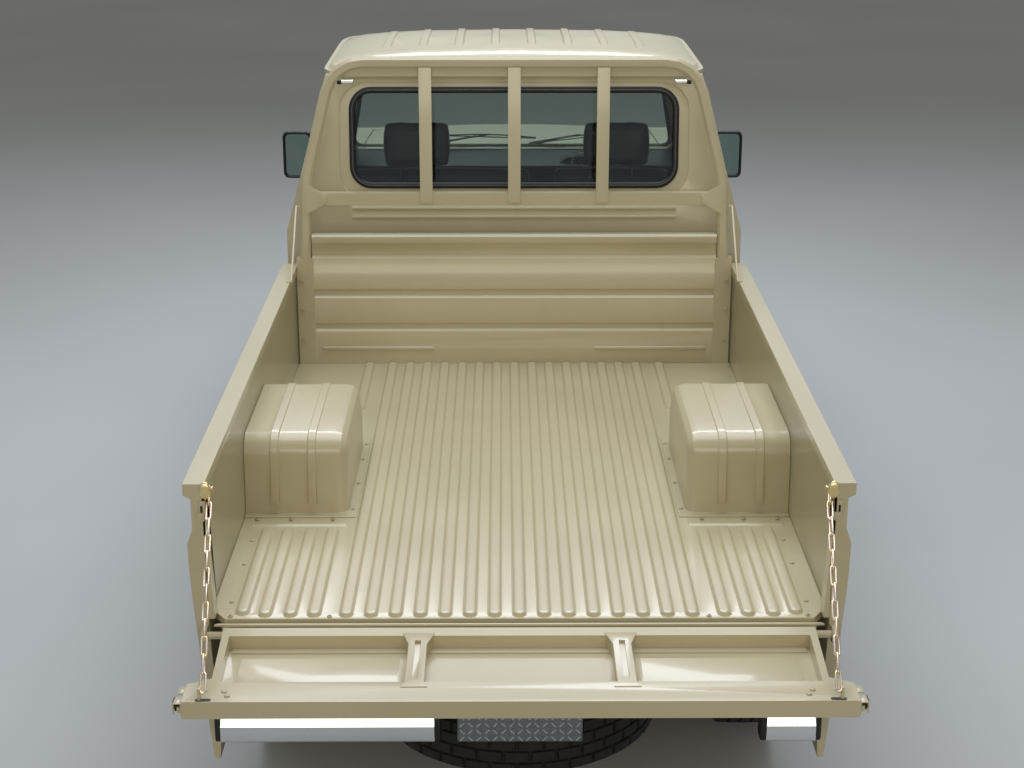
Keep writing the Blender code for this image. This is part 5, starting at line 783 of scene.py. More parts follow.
def build_door_trim():
    """Handles, strips, inner cards, arm rests and window cranks of the doors."""
    y, z = DOOR_REAR + 0.105, 1.165
    middle = Vector((0, y, z))
    for side, tag in SIDES:
        x, body = side * CAB_HALF, f"door_{tag}"
        dish = []
        for inset, out in ((0.0, -0.001), (0.0, 0.003), (0.003, 0.0045), (0.007, 0.003), (0.012, -0.0002),
                           (0.02, -0.0006)):
            dish.append([Vector((x + side * out, u, v)) + (middle - Vector((0, u, v))).normalized() * inset
                         for u, v in corner_rect((y - 0.068, z - 0.026), (y + 0.068, z + 0.026), 0.024, 6)])
        fit_form(f"handle_dish_{tag}", moulded_black, skin, dish, body=body)
        bm = bmesh.new()
        section = ((-0.003, -0.009), (0.001, -0.010), (0.0028, -0.006), (0.0028, 0.006), (0.001, 0.010),
                   (-0.003, 0.009))
        bar = ((-0.056, 0.004), (-0.05, 0.0135), (-0.02, 0.0165), (0.02, 0.0165), (0.05, 0.0135),
               (0.056, 0.004))
        skin(bm, [[Vector((x + side * (out + a), y + u, z + 0.004 + b)) for a, b in section]
                  for u, out in bar])
        add_turned(bm, [(0, 0), (0.011, 0), (0.011, 0.003), (0.008, 0.0045), (0.0, 0.0045)],
                   (x, y - 0.005, z - 0.052), X * side, 24)
        fit(bm, f"handle_bar_{tag}", bright_chrome, body, (), 40)
        fit_form(f"door_rubbing_strip_{tag}", moulded_black, add_block,
                 (side * 0.8455, DOOR_REAR + 0.02, 0.83), (side * 0.852, DOOR_FRONT - 0.045, 0.862), 0.003,
                 body=body)
        sill = side_x(side, 1.302)
        fit_form(f"door_sill_strip_{tag}", window_rubber, add_block,
                 (sill - side * 0.002, DOOR_REAR + 0.058, 1.296),
                 (sill + side * 0.0055, DOOR_FRONT - 0.07, 1.308), 0.0025, body=body)
        # inner card with arm rest, crank and pull
        back = side * (CAB_HALF - 0.0605)
        face, rear, front = back - side * 0.004, DOOR_REAR + 0.03, DOOR_FRONT - 0.04
        bm = bmesh.new()
        card = softened([(rear, 0.70), (front, 0.70), (front, 1.272), (rear, 1.272)], 0.03, 4)
        add_slab(bm, card, ALONG_X, back, back - side * 0.0045, 0.002)
        for low in (0.86, 1.17):
            add_block(bm, (face, rear + 0.04, low), (face - side * 0.0035, front - 0.04, low + 0.008), 0.002)
        fit(bm, f"door_card_{tag}", seat_vinyl, body)
        fit_form(f"arm_rest_{tag}", moulded_black, add_block, (face, DOOR_REAR + 0.20, 0.985),
                 (face - side * 0.038, DOOR_REAR + 0.52, 1.025), 0.012, 3, body=body)
        bm = bmesh.new()
        pivot = Vector((face, DOOR_FRONT - 0.34, 1.09))
        knob = pivot + Vector((-side * 0.02, 0.065, 0.062))
        add_turned(bm, [(0, 0), (0.018, 0), (0.016, 0.010), (0, 0.012)], pivot, X * -side, 20)
        add_tube(bm, [pivot - X * (side * 0.010), pivot + Vector((-side * 0.018, 0.03, 0.03)), knob],
                 [0.006, 0.0055, 0.005], 10)
        add_turned(bm, [(0, 0), (0.009, 0), (0.0105, 0.008), (0.009, 0.018), (0, 0.02)], knob, X * -side, 16)
        pull = Vector((face, DOOR_FRONT - 0.20, 1.20))
        add_block(bm, pull - Vector((0, 0.03, 0.012)), pull + Vector((-side * 0.01, 0.03, 0.012)), 0.003)
        fit(bm, f"window_crank_{tag}", bright_chrome, body)


def build_side_details():
    """Fuel flap with its lock, side signals, and the rubber flaps behind the rear wheels."""
    skirt = -0.8512
    flap = corner_rect((BED_REAR + 1.68, FLOOR + 0.10), (BED_REAR + 1.83, FLOOR + 0.25), 0.022)
    fit_form("fuel_flap", sand_enamel, add_slab, flap, ALONG_X, skirt + 0.0005, skirt - 0.0028, 0.0015)
    fit_form("fuel_flap_lock", bright_chrome, add_turned, [(0, 0), (0.010, 0), (0.010, 0.003), (0.0, 0.004)],
             (skirt - 0.0026, BED_REAR + 1.80, FLOOR + 0.175), -X, 20)
    for side, tag in SIDES:
        x, y, z = side * CAB_HALF, FRONT_AXLE + 0.44, 1.04
        fit_form(f"side_signal_base_{tag}", moulded_black, add_block, (x - side * 0.001, y - 0.045, z - 0.02),
                 (x + side * 0.006, y + 0.045, z + 0.02), 0.004)
        fit_form(f"side_signal_lens_{tag}", amber_lens, add_block, (x + side * 0.005, y - 0.038, z - 0.0145),
                 (x + side * 0.015, y + 0.038, z + 0.0145), 0.005, 3)
        bm = bmesh.new()
        y = REAR_AXLE - 0.475
        add_block(bm, (side * 0.60, y - 0.004, 0.26), (side * 0.835, y + 0.003, 0.60), 0.003)
        for k in range(4):
            x = side * (0.63 + 0.058 * k)
            add_block(bm, (x - 0.003, y - 0.007, 0.29), (x + 0.003, y - 0.003, 0.57), 0.002)
        fit(bm, f"mud_flap_{tag}", tyre_rubber)


# Nose


def build_headlamps():
    """Round headlamps in black panels, each with its turn signal."""
    face, opening = NOSE_FACE, 0.0925
    ring = [(0.0845, -0.004), (0.0925, -0.004), (0.0935, 0.006), (0.090, 0.012), (0.0855, 0.010),
            (0.0845, 0.004)]
    bowl = [(0.0, -0.052), (0.02, -0.050), (0.05, -0.040), (0.072, -0.022), (0.0855, 0.0), (0.0875, -0.001),
            (0.074, -0.026), (0.051, -0.044), (0.02, -0.0545), (0.0, -0.056)]
    bulb = [(0, -0.05), (0.012, -0.05), (0.012, -0.018), (0.007, -0.012), (0, -0.011)]
    lens = [(0.0, 0.0215), (0.03, 0.0198), (0.06, 0.0142), (0.078, 0.0075), (0.086, 0.001), (0.083, 0.0005),
            (0.075, 0.0045), (0.058, 0.0105), (0.03, 0.0160), (0.0, 0.0178)]
    for side, tag in SIDES:
        centre = Vector((side * LAMP_X, face, LAMP_Z))
        inner, outer = sorted((side * 0.516, side * 0.799))
        rim = corner_rect((inner, 0.892), (outer, 1.118), 0.024)
        eased = [(u * 0.98 + centre.x * 0.02, v * 0.98 + LAMP_Z * 0.02) for u, v in rim]
        turns = [math.atan2(v - LAMP_Z, u - centre.x) for u, v in rim]
        hole = [(centre.x + opening * math.cos(turn), LAMP_Z + opening * math.sin(turn)) for turn in turns]
        loops = ((rim, -0.03), (rim, 0.002), (eased, 0.006), (hole, 0.004), (hole, -0.03))
        panel = [[Vector((u, face + out, v)) for u, v in loop] for loop, out in loops]
        fit_form(f"headlamp_panel_{tag}", moulded_black, skin, panel, True, stands_for=(f"headlamp_{tag}",))
        fit_form(f"headlamp_ring_{tag}", bright_chrome, add_turned, ring, centre, Y, 56)
        bm = bmesh.new()
        add_turned(bm, bowl, centre, Y, 48)
        add_turned(bm, bulb, centre, Y, 20)
        fit(bm, f"headlamp_bowl_{tag}", lamp_bowl)
        fit_form(f"headlamp_lens_{tag}", clear_lens, add_turned, lens, centre, Y, 56)
        bm = bmesh.new()
        inner, outer = sorted((side * 0.735, side * 0.792))
        cover = corner_rect((inner, 0.915), (outer, 1.095), 0.012, 4)
        add_slab(bm, cover, ALONG_Y, face + 0.001, face + 0.013, 0.004)
        for k in range(6):
            z = 0.932 + k * 0.029
            add_block(bm, (inner + 0.007, face + 0.0115, z - 0.0022),
                      (outer - 0.007, face + 0.0145, z + 0.0022), 0.001)
        fit(bm, f"turn_signal_{tag}", amber_lens)


def build_grille_trim():
    """Surround and uprights of the grille, and the front bumper's bolts, rubber and tow hooks."""
    face, bracket_x = NOSE_FACE, 0.36
    loop = [Vector((x, face + 0.001, z)) for x, z in corner_rect((-0.492, 0.878), (0.492, 1.132), 0.022)]
    fit_form("grille_surround", bright_chrome, add_band, loop, Y,
             [(-0.006, -0.003), (-0.007, 0.003), (-0.002, 0.0065), (0.004, 0.0065), (0.009, 0.003),
              (0.008, -0.003)])
    bm = bmesh.new()
    for k in range(-6, 7):
        x = 0.078 * k
        add_block(bm, (x - 0.003, face - 0.034, 0.888), (x + 0.003, face - 0.012, 1.122), 0.001)
    fit(bm, "grille_uprights", moulded_black)
    bolts, hooks = bmesh.new(), bmesh.new()
    hook = ((0.16, 0.50), (0.10, 0.475), (0.05, 0.452), (0.02, 0.425), (0.035, 0.398), (0.07, 0.395))
    thickness = [0.011, 0.011, 0.011, 0.0105, 0.010, 0.009]
    for x in (-bracket_x, bracket_x):
        add_dome(bolts, (x, NOSE - 0.0055, 0.56), Y, 0.013, 0.005, 20)
        add_tube(hooks, [(x, NOSE - back, z) for back, z in hook], thickness, 12)
    fit(bolts, "bumper_bolts", bright_steel)
    fit_form("bumper_rubber", window_rubber, add_block, (-0.74, NOSE - 0.008, 0.595),
             (0.74, NOSE - 0.0006, 0.627), 0.0025)
    fit(hooks, "tow_hooks", chassis_enamel)


def build_wipers():
    """Two wipers on the foot of the windscreen, their blades held by bowed bars."""
    tilt = Vector((0, 1, SCREEN_SLOPE)).normalized()

    def on_screen(place, lift):
        return Vector((place[0], screen_y(place[1]), place[1])) + tilt * lift

    for name, pivot, tip, blade_start, blade_end in (
            ("wiper_1", (-0.40, 1.330), (-0.10, 1.386), (-0.285, 1.392), (0.105, 1.379)),
            ("wiper_2", (0.06, 1.330), (0.30, 1.385), (0.075, 1.352), (0.49, 1.405))):
        bm = bmesh.new()
        start, end = on_screen(pivot, 0), on_screen(tip, 0.018)
        add_turned(bm, [(0, 0), (0.012, 0), (0.011, 0.011), (0.007, 0.015), (0, 0.016)], start, tilt, 18)
        add_tube(bm, [start + tilt * 0.010, start.lerp(end, 0.3) + tilt * 0.013,
                      start.lerp(end, 0.7) + tilt * 0.008, end], [0.007, 0.006, 0.0042, 0.0035], 8)
        one, two = on_screen(blade_start, 0.006), on_screen(blade_end, 0.006)

        def bowed(share):
            return one.lerp(two, share) + tilt * (0.012 * math.sin(math.pi * share))

        add_tube(bm, [bowed(k / 12) for k in range(13)], 0.0032, 6)
        for share in (0.12, 0.3, 0.7, 0.88):
            add_tube(bm, [one.lerp(two, share) - tilt * 0.002, bowed(share)], 0.0035, 6)
        add_tube(bm, [one - tilt * 0.0035, two - tilt * 0.0035], 0.0026, 6)
        fit(bm, name, window_rubber)


def build_cowl():
    """Black painted shade for the air slots under the windscreen, and the washer jets on the hood."""
    z = 1.305
    y = screen_y(z)
    # black blocks under the windscreen: painted shade inside the air slots
    bm = bmesh.new()
    for side in (LEFT, RIGHT):
        for k in range(11):
            x = side * (0.24 + 0.033 * k)
            add_block(bm, (x - 0.011, y - 0.004, z - 0.010), (x + 0.011, y + 0.0012, z + 0.008), 0.001)
    fit(bm, "cowl_vent_painted_shade", window_rubber)
    bm = bmesh.new()
    for x in (-0.2, 0.2):
        add_dome(bm, (x, CAB_FRONT + 0.14, 1.306), Z, 0.009, 0.007)
    fit(bm, "washer_jets", moulded_black, "hood")


# Rear bumpers, step and lamps


def build_rear():
    """Rear bumpers with their end caps, the step's lozenges and the tail lamps."""
    rear, top, low, half = -2.4425, 0.62, 0.54, 0.158
    face = softened([(-2.3875, low), (rear, low), (rear, 0.5835), (-2.4165, 0.640), (-2.3875, 0.640)],
                    0.006, 4)
    cap = corner_rect((-2.4435, 0.5385), (-2.386, 0.6415), 0.016, 4)
    for tag, spans in (("left", ((-0.778, -0.764), (-0.219, -0.2035))),
                       ("right", ((0.6155, 0.631), (0.756, 0.7695)))):
        bm = bmesh.new()
        for start, end in spans:
            add_slab(bm, cap, ALONG_X, start, end, 0.002)
        fit(bm, f"bumper_end_caps_{tag}", moulded_black)
        fit_form(f"bumper_bar_{tag}", bright_chrome, add_slab, face, ALONG_X, spans[0][1] - 0.001,
                 spans[1][0] + 0.001, stands_for=(f"rear_bumper_{tag}",), angle=50)
    bm = bmesh.new()
    for i in range(15):
        for j in range(4):
            x = -half + 0.0105 + i * 0.0212
            turn = math.radians(45 if (i + j) % 2 else -45)
            place = Matrix.Translation((x, rear + 0.0095 + j * 0.0187, top + 0.0002))
            add_block(bm, (-0.0085, -0.0024, -0.0008), (0.0085, 0.0024, 0.0014), 0.0011, 1,
                      place @ Matrix.Rotation(turn, 4, "Z"))
            place = Matrix.Translation((x, rear + 0.0003, low + 0.0105 + j * 0.0197))
            add_block(bm, (-0.0085, -0.0014, -0.0024), (0.0085, 0.0008, 0.0024), 0.0011, 1,
                      place @ Matrix.Rotation(turn, 4, "Y"))
    fit(bm, "step_tread", bright_steel)
    for side, tag in SIDES:
        x, y, foot = side * 0.70, -2.4305, 0.6403
        case = corner_rect((x - 0.065, foot), (x + 0.065, foot + 0.075), 0.012, 4)
        fit_form(f"tail_lamp_case_{tag}", moulded_black, add_slab, case, ALONG_Y, y + 0.035, y + 0.012, 0.002,
                 stands_for=(f"tail_lamp_{tag}",))
        for start, end, lens, word in ((0.022, 0.061, amber_lens, "amber"), (-0.025, 0.021, red_lens, "red"),
                                       (-0.061, -0.026, clear_lens, "clear")):
            bm = bmesh.new()
            u0, u1 = sorted((x + side * start, x + side * end))
            cover = corner_rect((u0, foot + 0.005), (u1, foot + 0.070), 0.006, 3)
            add_slab(bm, cover, ALONG_Y, y + 0.014, y + 0.002, 0.002)
            for k in range(5):
                z = foot + 0.0135 + k * 0.012
                add_block(bm, (u0 + 0.004, y + 0.0012, z - 0.0015), (u1 - 0.004, y + 0.003, z + 0.0015),
                          0.0006, 1)
            fit(bm, f"tail_lens_{word}_{tag}", lens)


# Seats


def applied(piece):
    """The piece with its modifiers worked into its mesh."""
    graph = bpy.context.evaluated_depsgraph_get()
    mesh = bpy.data.meshes.new_from_object(piece.evaluated_get(graph))
    piece.modifiers.clear()
    piece.data = mesh
    return mesh


def puffed(bm, name, node, voxel=0.011, cap=0.012):
    """A pad: remeshed, swollen by pressure as cloth, held within a cap, and smoothed."""
    piece = add_object(bm, name, seat_vinyl, 180)
    remesh = piece.modifiers.new("Even mesh", "REMESH")
    remesh.mode = "VOXEL"
    remesh.voxel_size = voxel
    remesh.use_smooth_shade = True
    mesh = applied(piece)
    mesh.materials.clear()
    mesh.materials.append(seat_vinyl)
    rest = [vert.co.copy() for vert in mesh.vertices]
    cloth = piece.modifiers.new("Swell", "CLOTH")
    cloth.settings.quality = 4
    cloth.settings.use_pressure = True
    cloth.settings.uniform_pressure_force = 4.0
    cloth.settings.effector_weights.gravity = 0
    scene = bpy.context.scene
    for step in range(1, SWELL_FRAMES + 1):
        scene.frame_set(step)
    swollen = piece.evaluated_get(bpy.context.evaluated_depsgraph_get())
    places = [vert.co.copy() for vert in swollen.to_mesh().vertices]
    swollen.to_mesh_clear()
    piece.modifiers.clear()
    scene.frame_set(1)
    for vert, start, end in zip(mesh.vertices, rest, places):
        shift = end - start
        vert.co = start + shift * min(1.0, cap / max(shift.length, 0.0001))
    soft = piece.modifiers.new("Even out", "SMOOTH")
    soft.factor = 0.5
    soft.iterations = 4
    for polygon in applied(piece).polygons:
        polygon.use_smooth = True
    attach(piece, "truck")
    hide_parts(node)


def pad_form(centre, size, lean, crown=0.25):
    """A block with bulging faces and drawn-in corners, tilted back by lean."""
    bm = bmesh.new()
    bmesh.ops.create_cube(bm, size=1.0)
    bmesh.ops.subdivide_edges(bm, edges=bm.edges, cuts=7, use_grid_fill=True)
    for vert in bm.verts:
        u, v, w = (2 * c for c in vert.co)
        pull = [1 - crown * 0.18 * (a * a + b * b) for a, b in ((v, w), (u, w), (u, v))]
        vert.co = Vector((u / 2 * pull[0] * size[0], v / 2 * pull[1] * size[1], w / 2 * pull[2] * size[2]))
    place = Matrix.Translation(centre) @ Matrix.Rotation(lean, 4, "X")
    bmesh.ops.transform(bm, matrix=place, verts=bm.verts)
    return bm


def build_seats():
    """A narrow driver's seat and a wide passenger seat: pads, sewn panels, posts and frames."""
    rear = CAB_BACK + 0.12
    for node, x, width in (("driver_seat", 0.37, 0.50), ("passenger_seat", -0.29, 0.78)):
        word = node.split("_")[0]
        base = pad_form((x, rear + 0.352, 0.965), (width - 0.03, 0.385, 0.125), math.radians(3))
        puffed(base, f"{word}_cushion", node)
        back = pad_form((x, rear + 0.122, 1.262), (width - 0.03, 0.085, 0.455), math.radians(-8))
        puffed(back, f"{word}_backrest", node)
        rest_x = x + (0.015 if node == "driver_seat" else -0.075)
        rest = pad_form((rest_x, rear + 0.052, 1.583), (0.25, 0.062, 0.165), math.radians(-3), 0.3)
        puffed(rest, f"{word}_headrest", node, 0.008, 0.008)
        bm = bmesh.new()
        for u in (-0.06, 0.06):
            add_tube(bm, [(rest_x + u, rear + 0.07, 1.44), (rest_x + u, rear + 0.055, 1.53)], 0.006, 10)
        fit(bm, f"{word}_headrest_posts", bright_chrome)
        # sewn channels of cloth down the middle
        bm = bmesh.new()
        panels = 2 if width > 0.6 else 1
        for k in range(panels):
            middle = x + (k - (panels - 1) / 2) * width * 0.47
            half = width * (0.20 if panels == 2 else 0.34)
            for j in range(5):
                z = 1.115 + 0.075 * j
                y = rear + 0.122 + 0.0515 + (1.262 - z) * 0.14
                add_block(bm, (middle - half, y - 0.006, z - 0.034), (middle + half, y + 0.006, z + 0.034),
                          0.005, 3)
            for j in range(4):
                y = rear + 0.24 + 0.075 * j
                z = 1.0335 + (y - rear - 0.352) * 0.052
                add_block(bm, (middle - half, y - 0.034, z - 0.006), (middle + half, y + 0.034, z + 0.0035),
                          0.005, 3)
        fit(bm, f"{word}_seat_panels", seat_weave, "truck", (), 40)
        bm = bmesh.new()
        for side in (LEFT, RIGHT):
            u = x + side * (width / 2 - 0.045)
            add_block(bm, (u - 0.018, rear + 0.10, 0.7205), (u + 0.018, rear + 0.52, 0.745), 0.004)
            add_block(bm, (u - 0.012, rear + 0.14, 0.742), (u + 0.012, rear + 0.20, 0.92), 0.004)
            add_block(bm, (u - 0.012, rear + 0.44, 0.742), (u + 0.012, rear + 0.50, 0.92), 0.004)
            hinge = Vector((x + side * (width / 2 - 0.012), rear + 0.145, 0.985))
            add_block(bm, hinge - Vector((0.006, 0.035, 0.06)), hinge + Vector((0.006, 0.035, 0.075)), 0.005)
        add_block(bm, (x - width / 2 + 0.03, rear + 0.16, 0.875),
                  (x + width / 2 - 0.03, rear + 0.50, 0.915), 0.008)
        fit(bm, f"{word}_seat_frame", moulded_black)


# Inside of the cab


def build_interior():
    """Floor mat, dashboard fittings, dials, levers, pedals, mirror, visors and roof lining."""
    bm = bmesh.new()
    rear, front = CAB_BACK + 0.075, CAB_FRONT - 0.08
    mat = softened([(-0.72, rear), (0.72, rear), (0.72, front), (-0.72, front)], 0.03)
    add_slab(bm, mat, ALONG_Z, 0.7202, 0.7262, 0.002)
    for k in range(24):
        x = -0.66 + k * 0.0574
        add_block(bm, (x - 0.006, CAB_BACK + 0.75, 0.7255), (x + 0.006, CAB_FRONT - 0.14, 0.7285), 0.0012, 1)
    fit(bm, "cab_floor_mat", floor_mat)

    # instrument hood in front of the driver, vents, glove box, radio slot, knobs, shelf and top pad
    bm = bmesh.new()
    dash, driver = CAB_FRONT - 0.3003, 0.37
    hood = ((-0.17, -0.01), (-0.165, 0.03), (-0.13, 0.056), (0, 0.064), (0.13, 0.056), (0.165, 0.03),
            (0.17, -0.01))
    rows = ((0.04, 0.0), (0.045, 0.058), (0.10, 0.064), (0.20, 0.03))
    skin(bm, [[Vector((driver + u, dash + ahead, 1.292 + v * rise / 0.064)) for u, v in hood]
              for ahead, rise in rows])
    for x in (-0.68, -0.12, 0.12, 0.68):
        add_block(bm, (x - 0.045, dash, 1.19), (x + 0.045, dash + 0.032, 1.24), 0.004)
        for k in range(4):
            z = 1.199 + k * 0.0105
            add_block(bm, (x - 0.039, dash - 0.0045, z - 0.0012), (x + 0.039, dash + 0.001, z + 0.0012),
                      0.0005, 1)
    add_block(bm, (-0.58, dash - 0.004, 1.085), (-0.20, dash + 0.02, 1.165), 0.006)
    add_block(bm, (-0.41, dash - 0.010, 1.150), (-0.37, dash, 1.160), 0.002)
    add_block(bm, (-0.09, dash - 0.005, 1.10), (0.09, dash + 0.02, 1.15), 0.003)
    for x in (-0.045, 0, 0.045):
        add_turned(bm, [(0, 0), (0.011, 0), (0.009, 0.012), (0, 0.013)], (x, dash + 0.003, 1.178), -Y, 16)
    add_block(bm, (-0.60, dash + 0.02, 0.985), (-0.14, dash + 0.16, 1.01), 0.006)
    front = CAB_FRONT - 0.028
    pad = softened([(dash + 0.004, 1.285), (dash + 0.004, 1.312), (CAB_FRONT - 0.05, 1.338), (front, 1.338),
                    (front, 1.285)], 0.01, 4)
    add_slab(bm, pad, ALONG_X, -0.765, 0.765, 0.004)
    fit(bm, "dash_fittings", moulded_black)

    bm = bmesh.new()
    for x in (-0.07, 0.07):
        centre = Vector((driver + x, dash + 0.0385, 1.318))
        add_turned(bm, [(0.043, 0), (0.047, 0), (0.047, 0.004), (0.043, 0.004)], centre, -Y, 40)
        for k in range(13):
            angle = math.radians(225 - 270 * k / 12)
            spot = centre + Vector((math.cos(angle) * 0.036, -0.001, math.sin(angle) * 0.036))
            place = Matrix.Translation(spot) @ Matrix.Rotation(-angle, 4, "Y")
            add_block(bm, (-0.0045, -0.0008, -0.0007), (0.0045, 0.0004, 0.0007), 0.0, 1, place)
        add_tube(bm, [centre - Y * 0.0015, centre + Vector((-0.022, -0.0015, -0.016))], 0.0012, 6)
    fit(bm, "dials", dial_ink)

    # gear levers in their gaiters, hand brake and three pedals
    bm = bmesh.new()
    for x, height, lean in ((0.05, 1.02, -0.05), (0.13, 0.93, -0.03)):
        base = Vector((x, CAB_BACK + 0.93, 0.727))
        knob = Vector((x, CAB_BACK + 0.93 + lean, height))
        for rise, r in ((0.0, 0.055), (0.03, 0.04), (0.055, 0.024)):
            add_turned(bm, [(0, 0), (r, 0), (r * 0.8, 0.028), (0, 0.028)], base + Z * rise, Z, 20)
        add_tube(bm, [base + Z * 0.06, base.lerp(knob, 0.6) + Y * 0.012, knob], 0.007, 10)
        ball = [(0, -0.016), (0.012, -0.014), (0.021, 0.0), (0.019, 0.014), (0.009, 0.021), (0, 0.022)]
        add_turned(bm, ball, knob, Z, 20)
    brake = ((0.34, 0.80), (0.46, 0.86), (0.56, 0.905))
    add_tube(bm, [(0.10, CAB_BACK + ahead, z) for ahead, z in brake], [0.011, 0.010, 0.014], 12)
    add_block(bm, (0.078, CAB_BACK + 0.28, 0.7265), (0.122, CAB_BACK + 0.40, 0.812), 0.006)
    y = CAB_FRONT - 0.18
    for x, half in ((0.26, 0.03), (0.37, 0.03), (0.475, 0.0225)):
        add_tube(bm, [(x, y + 0.09, 1.0), (x, y + 0.03, 0.93), (x, y, 0.87)], 0.007, 8)
        place = Matrix.Translation((x, y - 0.004, 0.862)) @ Matrix.Rotation(math.radians(-35), 4, "X")
        add_block(bm, (-half, -0.007, -0.032), (half, 0.007, 0.032), 0.004, 2, place)
    fit(bm, "levers_and_pedals", moulded_black)

    bm = bmesh.new()
    screen = screen_y(1.73) - 0.055
    case = corner_rect((-0.12, 1.70), (0.12, 1.755), 0.016, 4)
    add_slab(bm, case, ALONG_Y, screen - 0.045, screen - 0.025, 0.003)
    stalk = ((-0.028, 1.735), (-0.005, 1.775), (0.005, 1.80))
    add_tube(bm, [(0, screen + ahead, z) for ahead, z in stalk], 0.006, 10)
    fit(bm, "inner_mirror", moulded_black)
    glass = corner_rect((-0.114, 1.705), (0.114, 1.75), 0.013, 4)
    fit_form("inner_mirror_glass", mirror_glass, add_slab, glass, ALONG_Y, screen - 0.0475, screen - 0.045,
             0.0005)
    bm = bmesh.new()
    for side in (LEFT, RIGHT):
        place = Matrix.Translation((side * 0.34, CAB_FRONT - 0.345, 1.806))
        add_block(bm, (-0.19, -0.07, -0.008), (0.19, 0.07, 0.008), 0.007, 3,
                  place @ Matrix.Rotation(math.radians(-10), 4, "X"))
    fit(bm, "sun_visors", roof_lining)
    rear, front = CAB_BACK + 0.14, CAB_FRONT - 0.43
    shares = [k / 6 - 1 for k in range(13)]
    rings = []
    for y, half, z in ((rear, 0.575, 1.835), (rear + 0.05, 0.60, 1.852), ((rear + front) / 2, 0.60, 1.862),
                       (front - 0.05, 0.60, 1.846), (front, 0.585, 1.83)):
        ring = [Vector((half * t, y, z + 0.012 * (1 - t * t))) for t in shares]
        rings.append(ring + [point + Z * 0.006 for point in reversed(ring)])
    fit_form("roof_lining", roof_lining, skin, rings)


# Below


def build_underbody():
    """Bolts, dampers and lower leaves of the rear springs, and the brake pipes."""
    bm = bmesh.new()
    for side in (LEFT, RIGHT):
        x, y, z = side * SPRING_X, REAR_AXLE, AXLE_Z
        bow = ((-0.036, -0.075), (-0.036, 0.085), (-0.03, 0.097), (0.03, 0.097), (0.036, 0.085),
               (0.036, -0.075))
        for ahead in (-0.05, 0.05):
            add_tube(bm, [(x + u, y + ahead, z + v) for u, v in bow], 0.006, 8)
            for u in (-0.036, 0.036):
                add_hex(bm, (x + u, y + ahead, z - 0.066), -Z, 0.018, 0.012)
        add_block(bm, (x - 0.045, y - 0.065, z - 0.066), (x + 0.045, y + 0.065, z - 0.054), 0.003)
        top, foot = Vector((side * 0.395, y + 0.20, 0.57)), Vector((side * 0.405, y + 0.045, z - 0.055))
        add_tube(bm, [foot, foot.lerp(top, 0.5)], 0.021, 18)
        add_tube(bm, [foot.lerp(top, 0.42), foot.lerp(top, 0.55), top], 0.026, 18)
    fit(bm, "spring_bolts_and_dampers", chassis_enamel)
    bm = bmesh.new()
    seat, eye = AXLE_Z + 0.042, 0.53
    for side in (LEFT, RIGHT):
        for k in (1, 2, 3):
            rings = []
            for i in range(9):
                out = (i / 4 - 1) * (0.5 - 0.12 * k)
                z = seat + (eye - seat) * (out / 0.6) ** 2 - 0.0165 - 0.008 * k
                rings.append([Vector((side * SPRING_X + u, REAR_AXLE + out, z + v)) for u, v in
                              ((-0.0295, -0.0036), (0.0295, -0.0036), (0.0295, 0.0036), (-0.0295, 0.0036))])
            skin(bm, rings)
    fit(bm, "spring_leaves", cast_iron)
    bm = bmesh.new()
    axle_pipe = ((0.30, 0.10, 0.50), (0.2, 0.05, 0.475), (0.05, 0, 0.56), (-0.2, -0.02, 0.475),
                 (-0.55, -0.01, 0.448))
    add_tube(bm, [(x, REAR_AXLE + ahead, z) for x, ahead, z in axle_pipe], 0.004, 8)
    for x in (-0.336, 0.336):
        add_tube(bm, [(x, y, 0.53) for y in (-1.7, -0.5, 0.6, 1.2)], 0.0035, 6)
    fit(bm, "brake_pipes", screw_zinc)


# Camera, light and floor


def build_camera():
    """The photograph's viewpoint: above and behind the bed, looking down along it."""
    camera = bpy.data.objects.new("camera", bpy.data.cameras.new("camera"))
    bpy.context.scene.collection.objects.link(camera)
    camera.data.sensor_width, camera.data.lens, camera.data.clip_end = 36, 63.63, 200
    camera.location = (-0.041, -6.55, 2.865)
    pitch, yaw = math.radians(18.31), math.radians(0.29)
    view = Vector((math.sin(yaw) * math.cos(pitch), math.cos(yaw) * math.cos(pitch), -math.sin(pitch)))
    camera.rotation_euler = view.to_track_quat("-Z", "Y").to_euler()
    bpy.context.scene.camera = camera


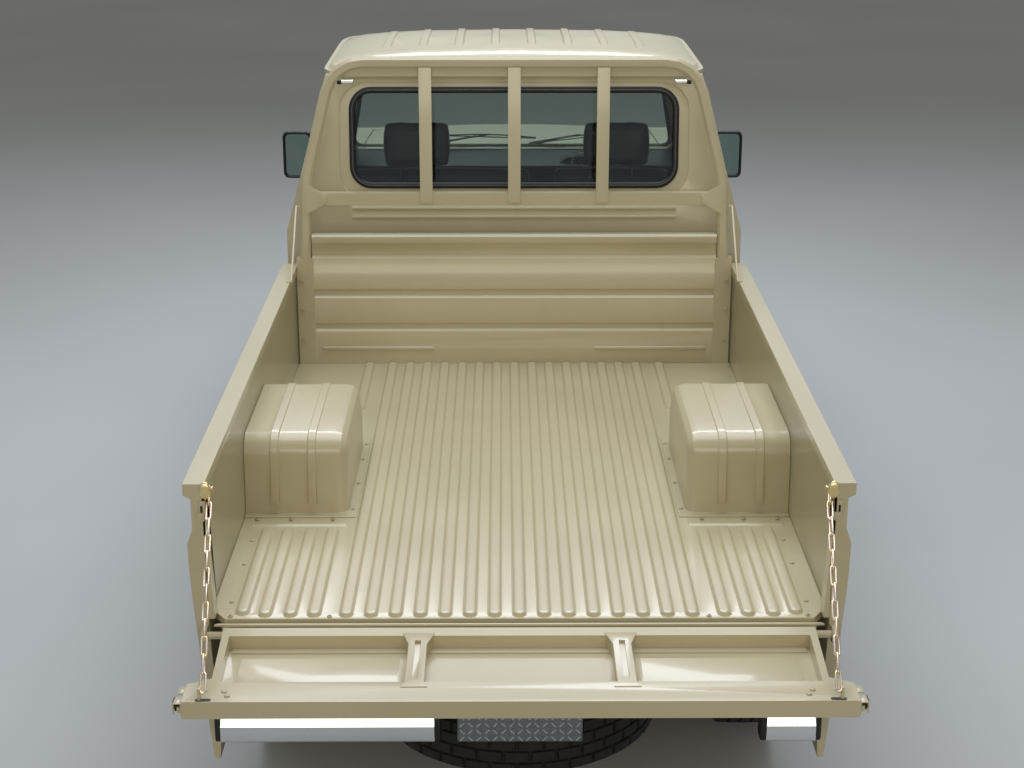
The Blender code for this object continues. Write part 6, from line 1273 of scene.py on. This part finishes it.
def build_stage():
    """A wide pale floor, with large soft lamps above, ahead and behind the camera."""
    bm = bmesh.new()
    reach = 90.0
    corners = ((-reach, -reach), (reach, -reach), (reach, reach), (-reach, reach))
    bm.faces.new([bm.verts.new((x, y, 0)) for x, y in corners])
    add_object(bm, "floor", studio_floor, 180)
    world = bpy.data.worlds.new("studio")
    bpy.context.scene.world = world
    world.use_nodes = True
    tree = world.node_tree
    light = tree.nodes["Background"]
    light.inputs["Color"].default_value = linear("#e9e4d9")
    light.inputs["Strength"].default_value = 0.33
    # what the eye, metal and glass see behind the truck: a grey backdrop
    backdrop = add_node(tree, "ShaderNodeBackground", [("Color", linear("#9ba1a4")), ("Strength", 1.0)])
    ray = add_node(tree, "ShaderNodeLightPath")
    seen = add_node(tree, "ShaderNodeMath", [("operation", "MAXIMUM")],
                    [(0, ray, "Is Camera Ray"), (1, ray, "Is Glossy Ray")])
    seen = add_node(tree, "ShaderNodeMath", [("operation", "MAXIMUM")],
                    [(0, seen, "Value"), (1, ray, "Is Transmission Ray")])
    mix = add_node(tree, "ShaderNodeMixShader", (),
                   [("Fac", seen, "Value"), (1, light, "Background"), (2, backdrop, "Background")])
    tree.links.new(mix.outputs["Shader"], tree.nodes["World Output"].inputs["Surface"])
    for name, place, aim, size, power, colour in (
            ("top_lamp", (0.0, -0.6, 5.6), (0, -0.8, 0), (4.5, 4.0), 185, "#f1f5ff"),
            ("front_lamp", (0.0, 4.8, 6.4), (0, -1.2, 0.8), (5.0, 2.6), 255, "#f1f5ff"),
            ("rear_lamp", (0.0, -9.5, 3.5), (0, 0, 1.2), (9.0, 1.8), 170, "#fff3df")):
        lamp = bpy.data.objects.new(name, bpy.data.lights.new(name, "AREA"))
        lamp.data.shape = "RECTANGLE"
        lamp.data.size, lamp.data.size_y = size
        lamp.data.energy = power
        lamp.data.color = linear(colour)[:3]
        lamp.location = place
        lamp.visible_camera = False
        lamp.rotation_euler = (Vector(aim) - Vector(place)).to_track_quat("-Z", "Y").to_euler()
        bpy.context.scene.collection.objects.link(lamp)
    bpy.context.scene.view_settings.view_transform = "Standard"


for build in (build_wheels, build_spare, build_chains, build_latches, build_floor_ribs, build_bed_fixings,
              build_seals, build_mirrors, build_door_trim, build_side_details, build_headlamps,
              build_grille_trim, build_wipers, build_cowl, build_rear, build_seats, build_interior,
              build_underbody, build_camera, build_stage):
    build()
